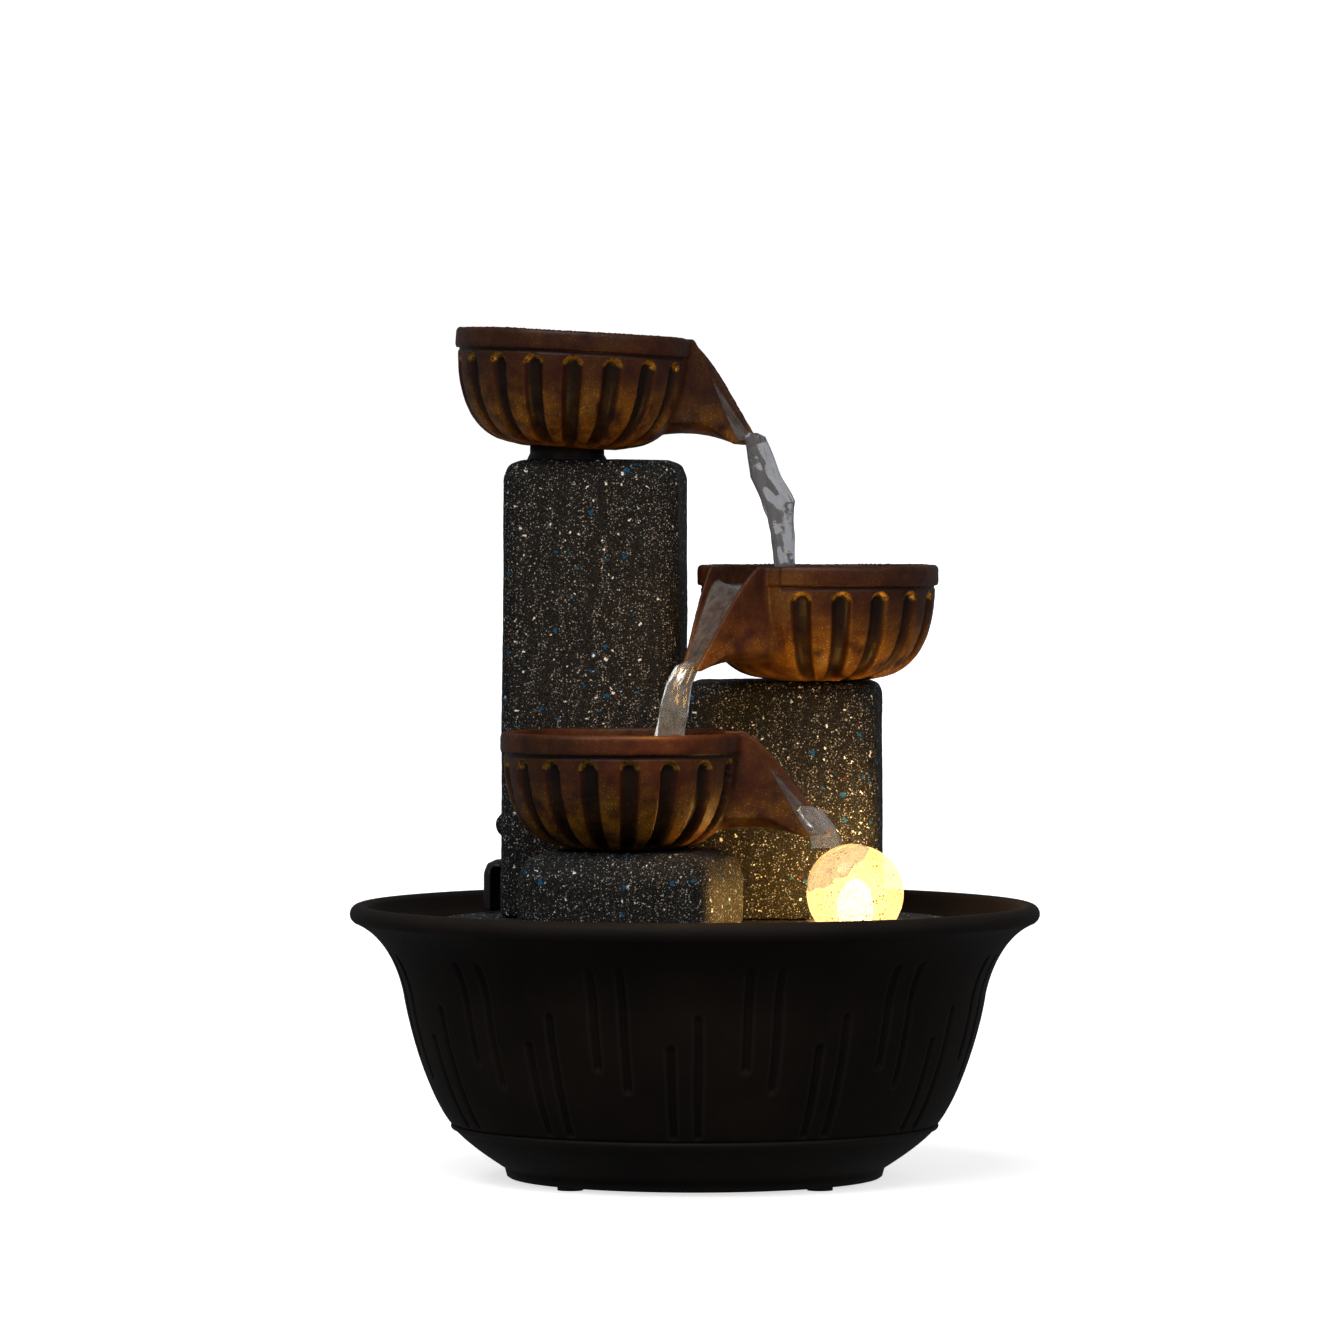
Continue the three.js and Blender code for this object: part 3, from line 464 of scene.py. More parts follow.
def flare_curve(steps):
    first = (WAIST[0] + 1.7, WAIST[1] + 8.5)
    second = (LIP_CENTRE[0] - 7.5, LIP_CENTRE[1] - 6.5)
    last = (LIP_CENTRE[0] + 1.2, LIP_CENTRE[1] - LIP_RADIUS + 0.3)
    return bezier(WAIST, first, second, last, steps)


def inside_of(points):
    """The points moved inwards by the wall."""
    made = []
    for i, point in enumerate(points):
        ahead = points[min(i + 1, len(points) - 1)] - points[max(i - 1, 0)]
        ahead.normalize()
        made.append(point + Vector((-ahead.y, ahead.x)) * WALL)
    return made


def basin_inside_radius(height):
    for point in inside_of(belly_curve(40) + flare_curve(40)[1:]):
        if point.y >= height:
            return point.x
    return RIM_RADIUS - WALL


def groove_depth(bearing, radius, height):
    """How deep a groove is cut at a point of the outer wall."""
    deepest = 0.0
    for line, bottom, top in GROOVE_LINES:
        turn = (bearing - line + GROOVE["pitch"] / 2) % GROOVE["pitch"] - GROOVE["pitch"] / 2
        across = math.radians(turn) * radius
        if abs(across) > GROOVE["half_width"] + 0.6:
            continue
        wander = 0.25 * noise.noise(Vector((line, height * 0.05, round(bearing / GROOVE["pitch"]))))
        beyond = max(bottom + 1.5 - height, height - top + 1.5, 0.0)
        away = math.hypot(across + wander, beyond) / GROOVE["half_width"]
        if away < 1:
            deepest = max(deepest, (1 - away * away) ** 0.75)
    return deepest * GROOVE["depth"]


def basin_mesh(around):
    """The whole basin, turned round its axis, with its grooves cut into the outer wall."""
    foot = [Vector(p) for p in FOOT_RING]
    slope = bezier(*SLOPE, 9)
    bead = arc(CREASE, BEAD_RADIUS, -60, 80, 6)
    wall = [p for p in belly_curve(56) if p.y > bead[-1].y + 0.3] + flare_curve(26)[1:]
    lip = arc(LIP_CENTRE, LIP_RADIUS, -55, 150, 14)
    inner_wall = inside_of(flare_curve(16))[:-2][::-1] + inside_of(belly_curve(18))[1:-1][::-1]
    profile = foot + slope + bead + wall + lip + inner_wall + [Vector(p) for p in FLOOR]
    wall_start = len(foot) + len(slope) + len(bead)
    wall_rows = range(wall_start - 1, wall_start + len(wall))
    rows = [[(0, 0, UNDERSIDE)] * around]
    for index, point in enumerate(profile):
        row = []
        for i in range(around):
            bearing = 360.0 * i / around
            radius, height = point.x, point.y
            if index in wall_rows and height < GROOVES_END:
                radius -= groove_depth(bearing, radius, height)
            angle = math.radians(bearing)
            wave = noise.noise(Vector((math.cos(angle), math.sin(angle), height * 0.03)) * 2.3)
            radius += UNEVEN * wave if height > 4 else 0.0
            row.append((radius * math.sin(angle), -radius * math.cos(angle), height))
        rows.append(row)
    rows.append([(0, 0, FLOOR_TOP)] * around)
    return grid_mesh("basin_casting", rows)


piece("basin_casting", basin_mesh(840), "basin_resin", "basin", ["basin"])


# ------------------------------------------------------------------ castings carried over from the frame
FINENESS = 1.0
PILLAR_SPREAD = 0.045
SPREAD_START = 6.0  # this far behind a pillar's middle it starts to widen
SPREAD_OVER = 8.0
BACK_SHARE = 0.975
COVER_ENDS = {"front": 36.0, "kept": 43.0, "drawn": 1.4}


def roughened(mesh, coarse, fine, seed):
    """Moves each point along its normal by a little noise, as a casting's skin has."""
    offset = Vector((seed, 2 * seed, 3 * seed))
    shifts = []
    for vert in mesh.vertices:
        place = vert.co / MM
        slow = noise.noise(place * 0.06 + offset)
        quick = noise.noise(place * 0.55 + offset)
        shifts.append(vert.normal * ((coarse * slow + fine * quick) * MM))
    for vert, shift in zip(mesh.vertices, shifts):
        vert.co += shift
    mesh.update()
    return mesh


def spread_out(mesh, spread):
    """Widens the front of a mesh towards its foot by that share, and draws its back in a little."""
    low = min(vert.co.z for vert in mesh.vertices)
    high = max(vert.co.z for vert in mesh.vertices)
    x = sum(vert.co.x for vert in mesh.vertices) / len(mesh.vertices)
    y = sum(vert.co.y for vert in mesh.vertices) / len(mesh.vertices)
    for vert in mesh.vertices:
        in_front = clamp01((y + SPREAD_START * MM - vert.co.y) / (SPREAD_OVER * MM))
        grown = 1 + spread * in_front * (high - vert.co.z) / (high - low)
        vert.co.x = x + (vert.co.x - x) * grown
        vert.co.y = y + (vert.co.y - y) * (grown if vert.co.y < y else BACK_SHARE)


def clear_of_lobe(mesh):
    """Draws the ends of the rear cover back from the bulge on the tall pillar's side."""
    front, kept = COVER_ENDS["front"], COVER_ENDS["kept"]
    for vert in mesh.vertices:
        if vert.co.y < kept * MM:
            share = (kept - vert.co.y / MM) / (kept - front)
            vert.co.y = (kept - share * (kept - front - COVER_ENDS["drawn"])) * MM


def casting(node, name, material, body, voxel, rounds, coarse, fine, seed, spread):
    """A cast piece: the node's own solid with its edges softened and its skin slightly uneven."""
    copy = make_object(name + "_blank", frame["nodes"][node].data.copy())
    mesh = applied(
        copy,
        REMESH={"mode": "VOXEL", "voxel_size": voxel * MM, "use_smooth_shade": True},
        SMOOTH={"factor": 0.5, "iterations": rounds},
    )
    if spread:
        spread_out(mesh, spread)
    if node == "rear_cover":
        clear_of_lobe(mesh)
    return piece(name, roughened(mesh, coarse, fine, seed), material, body, [node])


# each casting's node, name's ending, material, body, voxel, smoothing rounds, coarse and fine noise, spread
for seed, (node, ending, material, body, voxel, rounds, coarse, fine, spread) in enumerate((
    ("tall_pillar", "_casting", "speckled_resin", "tower", 0.9, 7, 0.30, 0.10, PILLAR_SPREAD),
    ("middle_pillar", "_casting", "speckled_resin", "tower", 0.9, 7, 0.30, 0.10, PILLAR_SPREAD),
    ("short_pillar", "_casting", "speckled_resin", "tower", 0.9, 9, 0.35, 0.10, 0.0),
    ("rear_cover", "_moulding", "black_plastic", "rear_cover", 0.7, 5, 0.06, 0.02, 0.0),
    ("deck", "_casting", "speckled_resin", "tower", 0.8, 3, 0.10, 0.08, 0.0),
), start=1):
    casting(node, node + ending, material, body, voxel * FINENESS, rounds, coarse, fine, seed, spread)


# ------------------------------------------------------------------ bowls
SPOUT_REACH = 57.0
SPOUT_DROP = 32.0
SPOUT_SKEW = 0.56
SPOUT_HALF = (12.85, 8.0)  # half its width where it leaves the bowl, and at its tip
SPOUT_WALL = 1.8
SPOUT_BEARING = 27.0  # no flute or band is made nearer than this to the spout's middle, in degrees
BAND = {"height": 6.0, "proud": 0.7}
FLUTE = {"pitch": 20.0, "half_width": 3.2, "depth": 2.3, "top": 7.8}
BOWL_VOXEL = 0.48


def bowl_side(steps, inset=0.0, rise=0.0):
    """The curved part of a bowl's outside from its base up to the band, as (radius, height)."""
    side = BOWL_RADIUS - BAND["proud"]
    points = bezier((20, 1), (29, 2.5), (side, 0.3 * BOWL_DEPTH), (side, BOWL_DEPTH - BAND["height"]), steps)
    return [Vector((p.x - inset, p.y + rise)) for p in points]


def turned_mesh(name, profile, around=96):
    rows = []
    for radius, height in profile:
        row = []
        for i in range(around):
            angle = 2 * math.pi * i / around
            row.append((radius * math.cos(angle), radius * math.sin(angle), height))
        rows.append(row)
    return grid_mesh(name, rows)


def spout_mesh(name, outline, extra, halves, belly=0.0, across=16):
    """A side outline widened into a solid that narrows to an oblique tip. belly rounds its underside."""
    root = BOWL_RADIUS - BOWL_WALL
    rows = []
    for j in range(across + 1):
        side = 2 * j / across - 1
        row = []
        for u, z, under in outline:
            share = max(0.0, (u - root) / (SPOUT_REACH - root))
            v = side * (halves[0] + (halves[1] - halves[0]) * min(share, 1.0))
            lift = under * belly * abs(side) ** 3 * clamp01((SPOUT_REACH - 2 - u) / 10)
            row.append((u + share * (extra + SPOUT_SKEW * v), v, BOWL_DEPTH + z + lift))
        rows.append(row)
    return grid_mesh(name, rows, caps=True)


def spout_floor():
    """The channel's floor along the spout, as (reach, height above the rim)."""
    r, drop, reach = BOWL_RADIUS, SPOUT_DROP, SPOUT_REACH
    return bezier((r - 4.5, -7), (r + 4, -9), (reach - 10, -drop + 8), (reach - 1.2, -drop + 1), 16)


def spout_outlines():
    r, drop, reach = BOWL_RADIUS, SPOUT_DROP, SPOUT_REACH
    brow = bezier((r - 0.5, 0), (r + 6.5, -0.2 * drop), (reach - 8, -0.62 * drop), (reach, -drop), 20)
    tip, root = (reach - 2, -drop - 0.2), (r - 12, -drop + 1)
    under = bezier(tip, (reach - 10, -drop + 1), (r + 6, -drop + 4.5), root, 14)
    outer = [(r - 12, 0, 0)] + [(p.x, p.y, 0) for p in brow] + [(p.x, p.y, 1) for p in under]
    channel = [(r - 7, 2, 0), (r - 7, -7, 0)] + [(p.x, p.y, 1) for p in spout_floor()]
    channel += [(reach + 1, -drop - 8, 0), (reach + 15, -drop - 8, 0), (reach + 15, 2, 0)]
    return outer, channel


def boolean(target, tool, operation):
    modifier = target.modifiers.new(operation, "BOOLEAN")
    modifier.operation = operation
    modifier.solver = "EXACT"
    modifier.object = tool


def bowl_blank(extra):
    """A plain bowl with its spout towards +X, standing on z = 0, as a smooth even mesh."""
    r = BOWL_RADIUS
    band_foot = BOWL_DEPTH - BAND["height"]
    lip = arc((r - 1.3, BOWL_DEPTH - 1.3), 1.3, 0, 90, 5)
    profile = [Vector((0, 0)), Vector((15, 0))] + bowl_side(24)
    profile += [Vector((r - 0.1, band_foot + 0.2)), Vector((r, band_foot + 0.5))] + lip
    profile.append(Vector((0, BOWL_DEPTH)))
    cavity = [Vector((0, 3.4)), Vector((14, 3.4))] + bowl_side(24, BOWL_WALL, BOWL_WALL)
    cavity += [Vector((r - BAND["proud"] - BOWL_WALL, BOWL_DEPTH + 1)), Vector((0, BOWL_DEPTH + 1))]
    outer, channel = spout_outlines()
    inner_halves = [half - SPOUT_WALL for half in SPOUT_HALF]
    bowl = make_object("bowl_blank", turned_mesh("bowl_blank", profile))
    spout = make_object("spout_blank", spout_mesh("spout_blank", outer, extra, SPOUT_HALF, 3.5))
    hollow = make_object("hollow_blank", turned_mesh("hollow_blank", cavity))
    run = make_object("run_blank", spout_mesh("run_blank", channel, extra, inner_halves, 2.2))
    boolean(bowl, spout, "UNION")
    boolean(bowl, hollow, "DIFFERENCE")
    boolean(bowl, run, "DIFFERENCE")
    mesh = applied(
        bowl,
        REMESH={"mode": "VOXEL", "voxel_size": BOWL_VOXEL * MM, "use_smooth_shade": True},
        SMOOTH={"factor": 0.5, "iterations": 4},
    )
    for tool in (spout, hollow, run):
        bpy.data.objects.remove(tool)
    return mesh


def flute_reach(place, phase):
    """How far a point is from the nearest flute's middle line, 1 at its edge, and how far above its top."""
    radius = math.hypot(place.x, place.y)
    bearing = math.degrees(math.atan2(place.y, place.x))
    turn = (bearing - phase + FLUTE["pitch"] / 2) % FLUTE["pitch"] - FLUTE["pitch"] / 2
    half = FLUTE["half_width"] * (0.45 + 0.55 * radius / BOWL_RADIUS) * min(1.0, radius / 24)
    across = math.radians(turn) * radius / half
    above = max(0.0, FLUTE["top"] + FLUTE["half_width"] - BOWL_DEPTH + place.z) / FLUTE["half_width"]
    return math.hypot(across, above), above


def bowl_marks(place, normal, phase):
    """How far to move a point of a bowl outwards, and its flute mark (also used for painted shade), its low
    mark, and its mark for the painted highlight at the flutes' tops.
    """
    radius = max(math.hypot(place.x, place.y), 0.01)
    outward = (place.x * normal.x + place.y * normal.y) / radius
    # low mark: 1 at the foot, fading to 0 at 24 mm up; it places the gold dust, which is partly painted glow
    # from below
    low = clamp01((24.0 - place.z) / 20.0)
    faces_out = outward > 0.05 or normal.z < -0.3
    in_spout = abs(math.degrees(math.atan2(place.y, place.x))) < SPOUT_BEARING
    band_foot = BOWL_DEPTH - BAND["height"]
    if place.z > band_foot - 1.2 and outward > 0.3 and radius < BOWL_RADIUS + 1 and not in_spout:
        if place.z < band_foot:
            # just under the band: a small groove whose flute mark of 0.8 paints shade into it
            return -0.35, 0.8, 0.0, 0.0
        return 0.35, 0.0, 0.0, 0.0
    if not faces_out or in_spout or radius < 12:
        return 0.0, 0.0, 0.5 * low if faces_out else 0.0, 0.0
    away, above = flute_reach(place, phase)
    # painted highlight: a thin crescent round each flute's rounded top
    flute_top_glint = smooth01(above * 2.5) * clamp01(1 - abs(away - 0.86) / 0.24)
    if away >= 1:
        return 0.0, 0.0, low, flute_top_glint
    cut = (1 - away**3) ** 0.75 * smooth01((radius - 13) / 7)
    return -FLUTE["depth"] * cut, cut, low, flute_top_glint


def bowl_piece(name, blank, node, place, aim, tilt, phase, seed):
    """One bowl: the blank with its flutes cut and its band raised, set on its pillar."""
    mesh = blank.copy()
    marks = [bowl_marks(v.co / MM, v.normal, phase) for v in mesh.vertices]
    shifts = [v.normal * (mark[0] * MM) for v, mark in zip(mesh.vertices, marks)]
    for vert, shift in zip(mesh.vertices, shifts):
        vert.co += shift
    for index, key in ((1, "flute"), (2, "low"), (3, "flute_top_glint")):
        attribute = mesh.attributes.new(key, "FLOAT", "POINT")
        attribute.data.foreach_set("value", [mark[index] for mark in marks])
    mesh.update()
    roughened(mesh, 0.22, 0.07, seed)
    turn = Matrix.Rotation(math.radians(aim), 4, "Z") @ Matrix.Rotation(math.radians(tilt), 4, "Y")
    mesh.transform(Matrix.Translation(Vector(place) * MM) @ turn)
    return piece(name, mesh, "bowl_resin", "tower", [node])


UPPER = {"x": -39.3, "y": 26.0, "aim": 5.0, "tilt": 3.1}
MIDDLE = {"y": 12.0, "aim": -136.0, "tilt": 0.0}
LOWER = {"x": -22.2, "y": -34.0, "aim": 3.0, "tilt": 0.0}
SPOUT_EXTRA = 4.7
GLUE_GAP = 0.3
NECK_X = -40.2
NECK_RADIUS = 11.7
UPPER["z"] = COLLAR_HIGH.z + NECK_RADIUS * math.sin(math.radians(UPPER["tilt"])) + GLUE_GAP
MIDDLE["x"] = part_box("middle_bowl")[1].x / MM - BOWL_RADIUS
MIDDLE["z"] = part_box("middle_bowl")[0].z / MM
LOWER["z"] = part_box("lower_bowl")[0].z / MM

plain_blank = bowl_blank(0.0)
long_blank = bowl_blank(SPOUT_EXTRA)
for name, blank, spec, phase, seed in (
    ("upper", plain_blank, UPPER, -95.0, 11),
    ("middle", plain_blank, MIDDLE, 36.7, 12),
    ("lower", long_blank, LOWER, -89.6, 13),
):
    bowl_piece(
        name + "_bowl_casting", blank, name + "_bowl", (spec["x"], spec["y"], spec["z"]),
        spec["aim"], spec["tilt"], phase, seed,
    )


# ------------------------------------------------------------------ neck
COLLAR_SIDES = 96
COLLAR_LAP = 0.25  # how far it reaches into the bowl above
# radius, and share of the height
COLLAR_PROFILE = ((6.2, 1.0), (6.2, 0.0), (12.7, 0.0), (12.3, 0.2), (11.75, 0.42), (NECK_RADIUS, 1.0))


def collar_mesh():
    """A short round collar whose top follows the leaning bowl's underside."""
    centre = (COLLAR_LOW + COLLAR_HIGH) / 2
    aim, lean = math.radians(UPPER["aim"]), math.tan(math.radians(UPPER["tilt"]))
    rows = []
    for radius, share in COLLAR_PROFILE:
        row = []
        for i in range(COLLAR_SIDES):
            angle = 2 * math.pi * i / COLLAR_SIDES
            x = centre.x + radius * math.cos(angle)
            y = centre.y + radius * math.sin(angle)
            along = (x - UPPER["x"]) * math.cos(aim) + (y - UPPER["y"]) * math.sin(aim)
            top = UPPER["z"] + COLLAR_LAP - lean * along
            low = COLLAR_LOW.z
            row.append((x, y, low + share * (top - low)))
        rows.append(row)
    return grid_mesh("neck_collar_fitted", rows, close_along=True)


piece("neck_collar_fitted", collar_mesh(), "black_plastic", "tower", ["neck_collar"])


# ------------------------------------------------------------------ ball
def round_mesh(name, radii, centre, dent, subdivisions=6):
    """A slightly uneven ball or egg round a centre, in millimetres."""
    shape = bmesh.new()
    bmesh.ops.create_icosphere(shape, subdivisions=subdivisions, radius=1.0)
    for vert in shape.verts:
        place = Vector((vert.co.x * radii[0], vert.co.y * radii[1], vert.co.z * radii[2]))
        shift = dent * (noise.noise(place * 0.5) + 0.6 * noise.noise(place * 1.7))
        vert.co = (place + vert.co * shift + centre) * MM
    mesh = bpy.data.meshes.new(name)
    shape.to_mesh(mesh)
    shape.free()
    return mesh


BALL_DENT = 0.05
CORE_RADII = (5.4, 5.4, 9.0)
CORE_DROP = 4.6
CORE_DENT = 0.7

glass = round_mesh("ball_glass_body", [BALL_RADIUS - BALL_DENT] * 3, BALL_CENTRE, BALL_DENT)
ball = piece("ball_glass_body", glass, "ball_glass", "ball", ["ball"])
ball.visible_shadow = False
core = round_mesh("ball_light_core", CORE_RADII, BALL_CENTRE - Vector((0, 0, CORE_DROP)), CORE_DENT, 5)
ball_core = piece("ball_light_core", core, "ball_light", "ball")
ball_core.visible_shadow = False


# ------------------------------------------------------------------ water
WETTED = 0.3  # how far a spout's sheet reaches into the channel's walls
SHEET_THICKNESS = 0.9
POOL_RADIUS = 33.7
POOL_DEPTH = 1.5
STREAM_THICKNESS = 3.4


def stream_mesh(name, stations, thickness, seed):
    """Falling water through (x, y, z, width) stations: a flat, rippled, wandering rope."""
    rows = []
    steps = 14
    for low, high in zip(stations, stations[1:]):
        for step in range(steps):
            rows.append([a + (b - a) * step / steps for a, b in zip(low, high)])
    rows.append(list(stations[-1]))
    made = []
    for x, y, z, width in rows:
        row = []
        for i in range(40):
            angle = 2 * math.pi * i / 40
            side = Vector((math.cos(angle), math.sin(angle)))
            swell = 1 + 0.16 * noise.noise(Vector((2.2 * side.x + seed, 2.2 * side.y, z * 0.11)))
            fold = 0.20 * noise.noise(Vector((3.0 * side.x, 2.0 * side.y + seed, z * 0.16)))
            reach_x = width / 2 * (swell + 0.35 * fold)
            reach_y = thickness / 2 * (swell + 2.0 * fold)
            row.append((x + reach_x * side.x, y + reach_y * side.y, z))
        made.append(row)
    return grid_mesh(name, made, caps=True)


def pool_mesh(name, centre, radius, level, depth, landing, around=120):
    """A still sheet of water with a few ring ripples round the point where water lands."""
    rows = [[(centre[0], centre[1], level - depth)] * around]
    rings = [radius] + [radius * i / 46 for i in range(46, 0, -1)]
    for index, ring_radius in enumerate(rings):
        row = []
        for i in range(around):
            angle = 2 * math.pi * i / around
            x = centre[0] + ring_radius * math.cos(angle)
            y = centre[1] + ring_radius * math.sin(angle)
            away = math.hypot(x - landing[0], y - landing[1])
            ring = 0.45 * math.cos(away * 1.25) * math.exp(-away / 11)
            wave = ring + 0.10 * noise.noise(Vector((x, y, level)) * 0.25)
            row.append((x, y, level - depth if index == 0 else level + wave))
        rows.append(row)
    return grid_mesh(name, rows + [[(centre[0], centre[1], level)] * around])


def sheet_mesh(name, extra, thickness):
    """The water running down a spout's channel, in the bowl's own axes."""
    bed = spout_floor()
    outline = [(p.x, p.y - WETTED, 1) for p in bed]
    outline += [(p.x, p.y + thickness, 1) for p in reversed(bed)]
    halves = [half - SPOUT_WALL + WETTED for half in SPOUT_HALF]
    return spout_mesh(name, outline, extra, halves, 2.2, 24)


def bowl_water(name, spec, extra, stations, landing):
    """A bowl's pool, the sheet in its spout, and the stream that falls from it."""
    aim, tilt = math.radians(spec["aim"]), math.radians(spec["tilt"])
    sheet = sheet_mesh(name + "_spout_sheet", extra, SHEET_THICKNESS)
    turn = Matrix.Rotation(aim, 4, "Z") @ Matrix.Rotation(tilt, 4, "Y")
    sheet.transform(Matrix.Translation(Vector((spec["x"], spec["y"], spec["z"])) * MM) @ turn)
    piece(name + "_spout_sheet", sheet, "water", "tower")
    rise = BOWL_DEPTH - WEIR_DROP
    level = spec["z"] + rise * math.cos(tilt) - 33 * math.sin(tilt)
    drift = rise * math.sin(tilt)
    centre = (spec["x"] + drift * math.cos(aim), spec["y"] + drift * math.sin(aim))
    pool = pool_mesh(name + "_bowl_pool", centre, POOL_RADIUS, level, POOL_DEPTH, landing)
    piece(name + "_bowl_pool", pool, "water", "tower")
    stream = stream_mesh(name + "_stream", stations, STREAM_THICKNESS, len(name))
    look = "falling_water" if name == "upper" else "water"
    piece(name + "_stream", stream, look, "tower")


# each fall from top to bottom, as (x, y, z, width)
UPPER_FALL = (
    (18.4, 30.4, 233.6, 3.0),
    (19.2, 30.5, 232.4, 6.6),
    (22.7, 30.4, 219.6, 9.8),
    (26.4, 30.0, 212.0, 10.2),
    (27.4, 29.6, 206.7, 8.3),
    (29.2, 29.0, 186.0, 5.7),
)
MIDDLE_FALL = (
    (-1.8, -27.4, 162.6, 3.4),
    (-2.4, -28.0, 161.2, 7.0),
    (-4.9, -28.4, 156.0, 8.0),
    (-6.0, -28.8, 150.0, 8.8),
    (-8.6, -29.0, 134.5, 9.4),
)
LOWER_FALL = (
    (34.2, -33.0, 118.2, 3.6),
    (35.4, -33.2, 116.8, 7.6),
    (38.8, -33.4, 112.0, 8.8),
    (41.2, -33.6, 105.4, 9.2),
)
bowl_water("upper", UPPER, 0.0, UPPER_FALL, (NECK_X, UPPER["y"]))
bowl_water("middle", MIDDLE, 0.0, MIDDLE_FALL, UPPER_FALL[-1])
bowl_water("lower", LOWER, SPOUT_EXTRA, LOWER_FALL, MIDDLE_FALL[-1])


def ball_film_mesh():
    """Water spreading over the ball from where the last stream lands, down its left side."""
    across = Vector((-0.55, -0.25, 0.80)).normalized()
    side = across.cross(Vector((0, 1, 0))).normalized()
    other = across.cross(side)
    rows = []
    for share in (1.0, 0.85, 0.7, 0.55, 0.4, 0.25, 0.12, 0.0):
        row = []
        for i in range(72):
            angle = 2 * math.pi * i / 72
            wander = 1 + 0.25 * noise.noise(Vector((2 * math.cos(angle), 2 * math.sin(angle), 4.0)))
            lean = 0.85 * share * wander
            round_about = side * math.cos(angle) + other * math.sin(angle)
            way = across * math.cos(lean) + round_about * math.sin(lean)
            lift = 0.55 * (1 - share**4) + 0.12 * noise.noise(way * 9)
            row.append(BALL_CENTRE + way * (BALL_RADIUS + 0.05 + max(lift, 0.05)))
        rows.append(row)
    under = [BALL_CENTRE + (Vector(p) - BALL_CENTRE).normalized() * (BALL_RADIUS - 0.2) for p in rows[0]]
    return grid_mesh("ball_film", [[BALL_CENTRE + across * (BALL_RADIUS - 0.2)] * 72, under] + rows)


piece("ball_film", ball_film_mesh(), "water", "tower")


FILM_INNER = 16.9


def puddle_mesh():
    """A thin film lying on the deck round the ball's seat."""
    rows = []
    for share, height in ((0.0, 0.02), (0.0, 0.5), (0.5, 0.6), (0.9, 0.5), (1.0, 0.02)):
        row = []
        for i in range(120):
            angle = 2 * math.pi * i / 120
            outer = 22.5 + 3.5 * noise.noise(Vector((1.7 * math.cos(angle), 1.7 * math.sin(angle), 9.0)))
            radius = FILM_INNER + share * (outer - FILM_INNER)
            x = BALL_CENTRE.x + radius * math.cos(angle)
            y = BALL_CENTRE.y + radius * math.sin(angle)
            row.append((x, y, DECK_TOP + height))
        rows.append(row)
    return grid_mesh("deck_film", rows, close_along=True)


piece("deck_film", puddle_mesh(), "water", "tower")
BASIN_LANDING = (70, -20)
pool_radius = basin_inside_radius(WATER_LEVEL) + 0.2
basin_pool = pool_mesh("basin_pool", (0, 0), pool_radius, WATER_LEVEL, 1.2, BASIN_LANDING, 180)
piece("basin_pool", basin_pool, "water", "basin")


# ------------------------------------------------------------------ every other node keeps its shape
slot_of = {row["node"]: row["material_slot"] for row in frame["record"]["subparts"]}
for node_name, node_object in frame["nodes"].items():
    node_object.data.shade_smooth()
    node_object.data.set_sharp_from_angle(angle=math.radians(35))
    material = MATERIALS[slot_of[node_name]]
    if node_object.material_slots:
        for material_slot in node_object.material_slots:
            material_slot.material = material
    else:
        node_object.data.materials.append(material)


# ------------------------------------------------------------------ camera, lights and floor
CAMERA = {"x": -8.66, "y": -2437.5, "z": 222.8, "pitch": 1.469, "lens": 210.5, "sensor": 36.0}


def camera():
    data = bpy.data.cameras.new("camera")
    data.lens = CAMERA["lens"]
    data.sensor_width = CAMERA["sensor"]
    made = make_object("camera", data)
    made.location = Vector((CAMERA["x"], CAMERA["y"], CAMERA["z"])) * MM
    made.rotation_euler = Euler((math.radians(90 - CAMERA["pitch"]), 0, 0))
    scene.camera = made


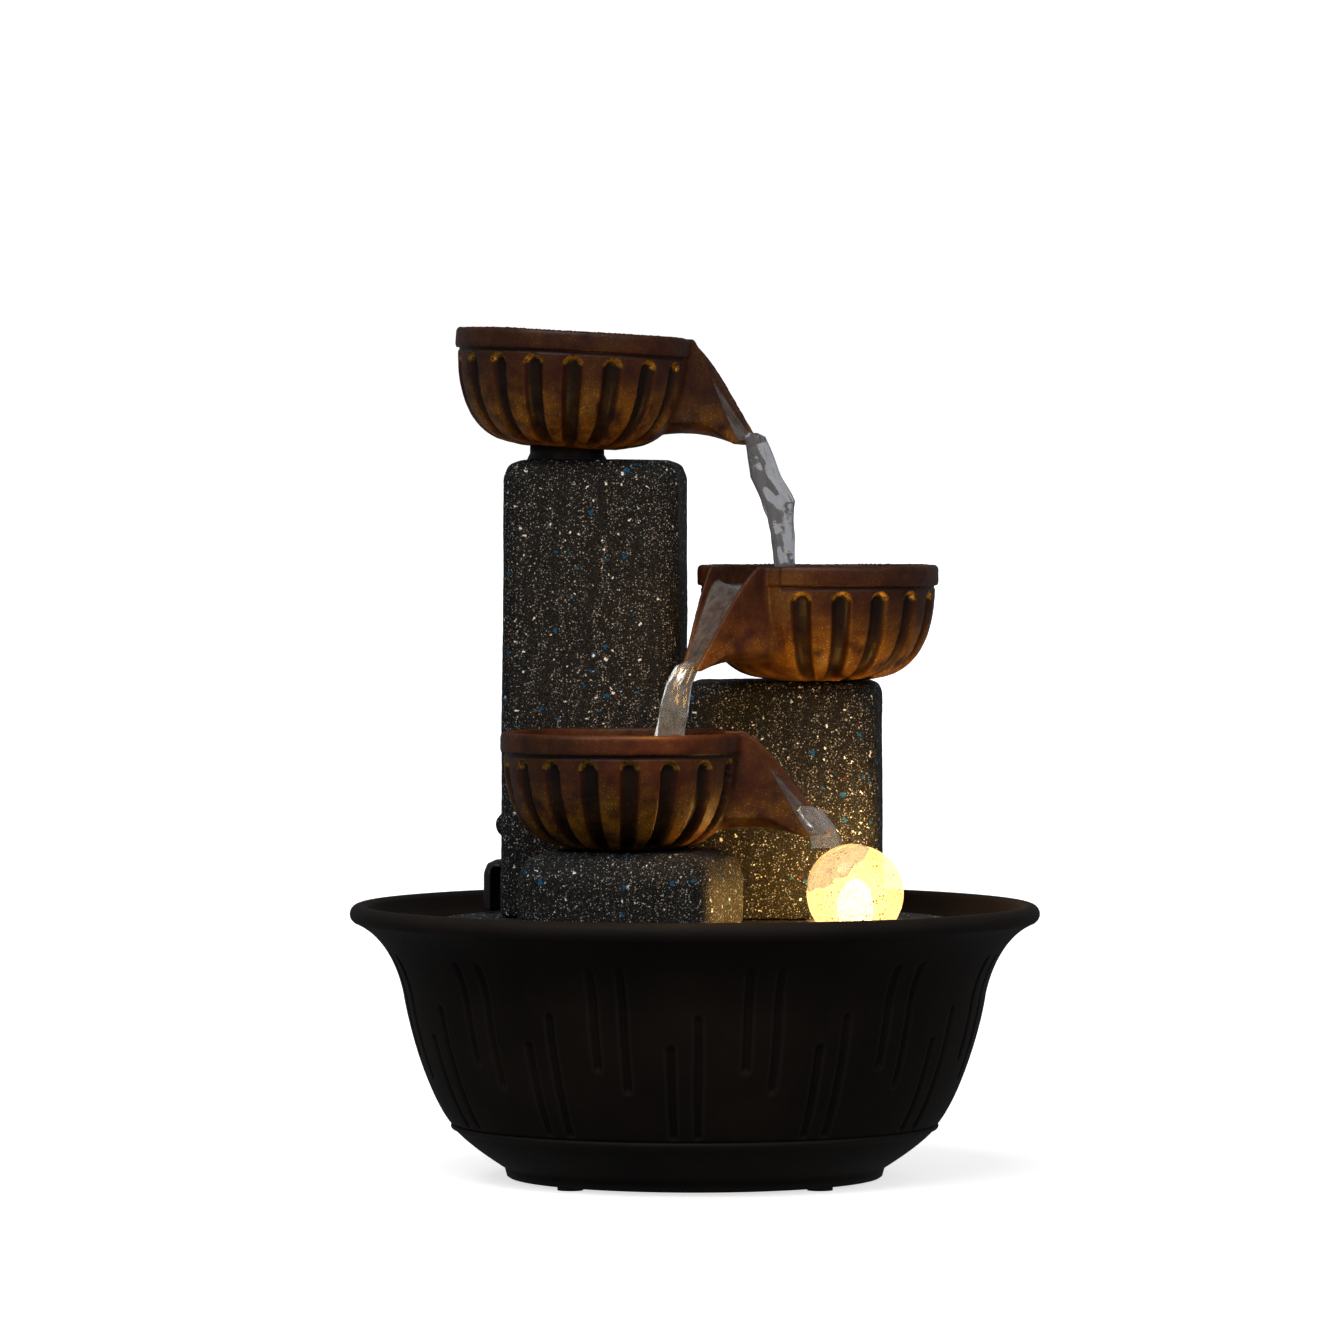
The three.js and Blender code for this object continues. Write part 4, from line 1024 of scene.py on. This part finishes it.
def sun(name, strength, turn, height, angle, colour=(1, 1, 1)):
    data = bpy.data.lights.new(name, "SUN")
    data.energy = strength
    data.angle = math.radians(angle)
    data.color = colour
    made = make_object(name, data)
    made.rotation_euler = Euler((math.radians(90 - height), 0, math.radians(turn)))


def glow(name, place, watts, radius, colour):
    data = bpy.data.lights.new(name, "POINT")
    data.energy = watts
    data.shadow_soft_size = radius * MM
    data.color = colour
    made = make_object(name, data)
    made.location = Vector(place) * MM
    made.visible_transmission = False


def studio():
    """A white surround that the camera sees, and a dimmer one that lights the object."""
    world = bpy.data.worlds.new("studio")
    world.use_nodes = True
    tree = world.node_tree
    seen = tree.nodes.new("ShaderNodeBackground")
    seen.inputs["Strength"].default_value = 1.05
    lit = tree.nodes["Background"]
    lit.inputs["Color"].default_value = (0.95, 0.97, 1.0, 1.0)
    lit.inputs["Strength"].default_value = 0.17
    seen.inputs["Color"].default_value = (1, 1, 1, 1)
    ray = tree.nodes.new("ShaderNodeLightPath")
    both = tree.nodes.new("ShaderNodeMixShader")
    tree.links.new(ray.outputs["Is Camera Ray"], both.inputs["Fac"])
    tree.links.new(lit.outputs[0], both.inputs[1])
    tree.links.new(seen.outputs[0], both.inputs[2])
    tree.links.new(both.outputs[0], tree.nodes["World Output"].inputs["Surface"])
    scene.world = world


def floor():
    mesh = bpy.data.meshes.new("floor")
    side = 150.0
    corners = [(-side, -side, 0), (side, -side, 0), (side, side, 0), (-side, side, 0)]
    mesh.from_pydata(corners, [], [(0, 1, 2, 3)])
    paint = Paint("floor", Roughness=0.9, Specular_IOR_Level=0.1, Emission_Strength=0.7)
    paint.shader.inputs["Base Color"].default_value = rgb(0.93, 0.93, 0.93)
    paint.shader.inputs["Emission Color"].default_value = rgb(1, 1, 1)
    mesh.materials.append(paint.material)
    made = make_object("floor", mesh)
    made.visible_diffuse = False
    made.visible_glossy = False


camera()
studio()
floor()
sun("key", 1.75, -24, 52, 45)
sun("fill", 0.55, 40, 35, 50)
glow("ball_glow", BALL_CENTRE, 0.36, 12, (1.0, 0.56, 0.14))
glow("warm_front", (-4.0, -85.0, 170.0), 0.13, 14, (1.0, 0.52, 0.08))
scene.view_settings.view_transform = "Standard"
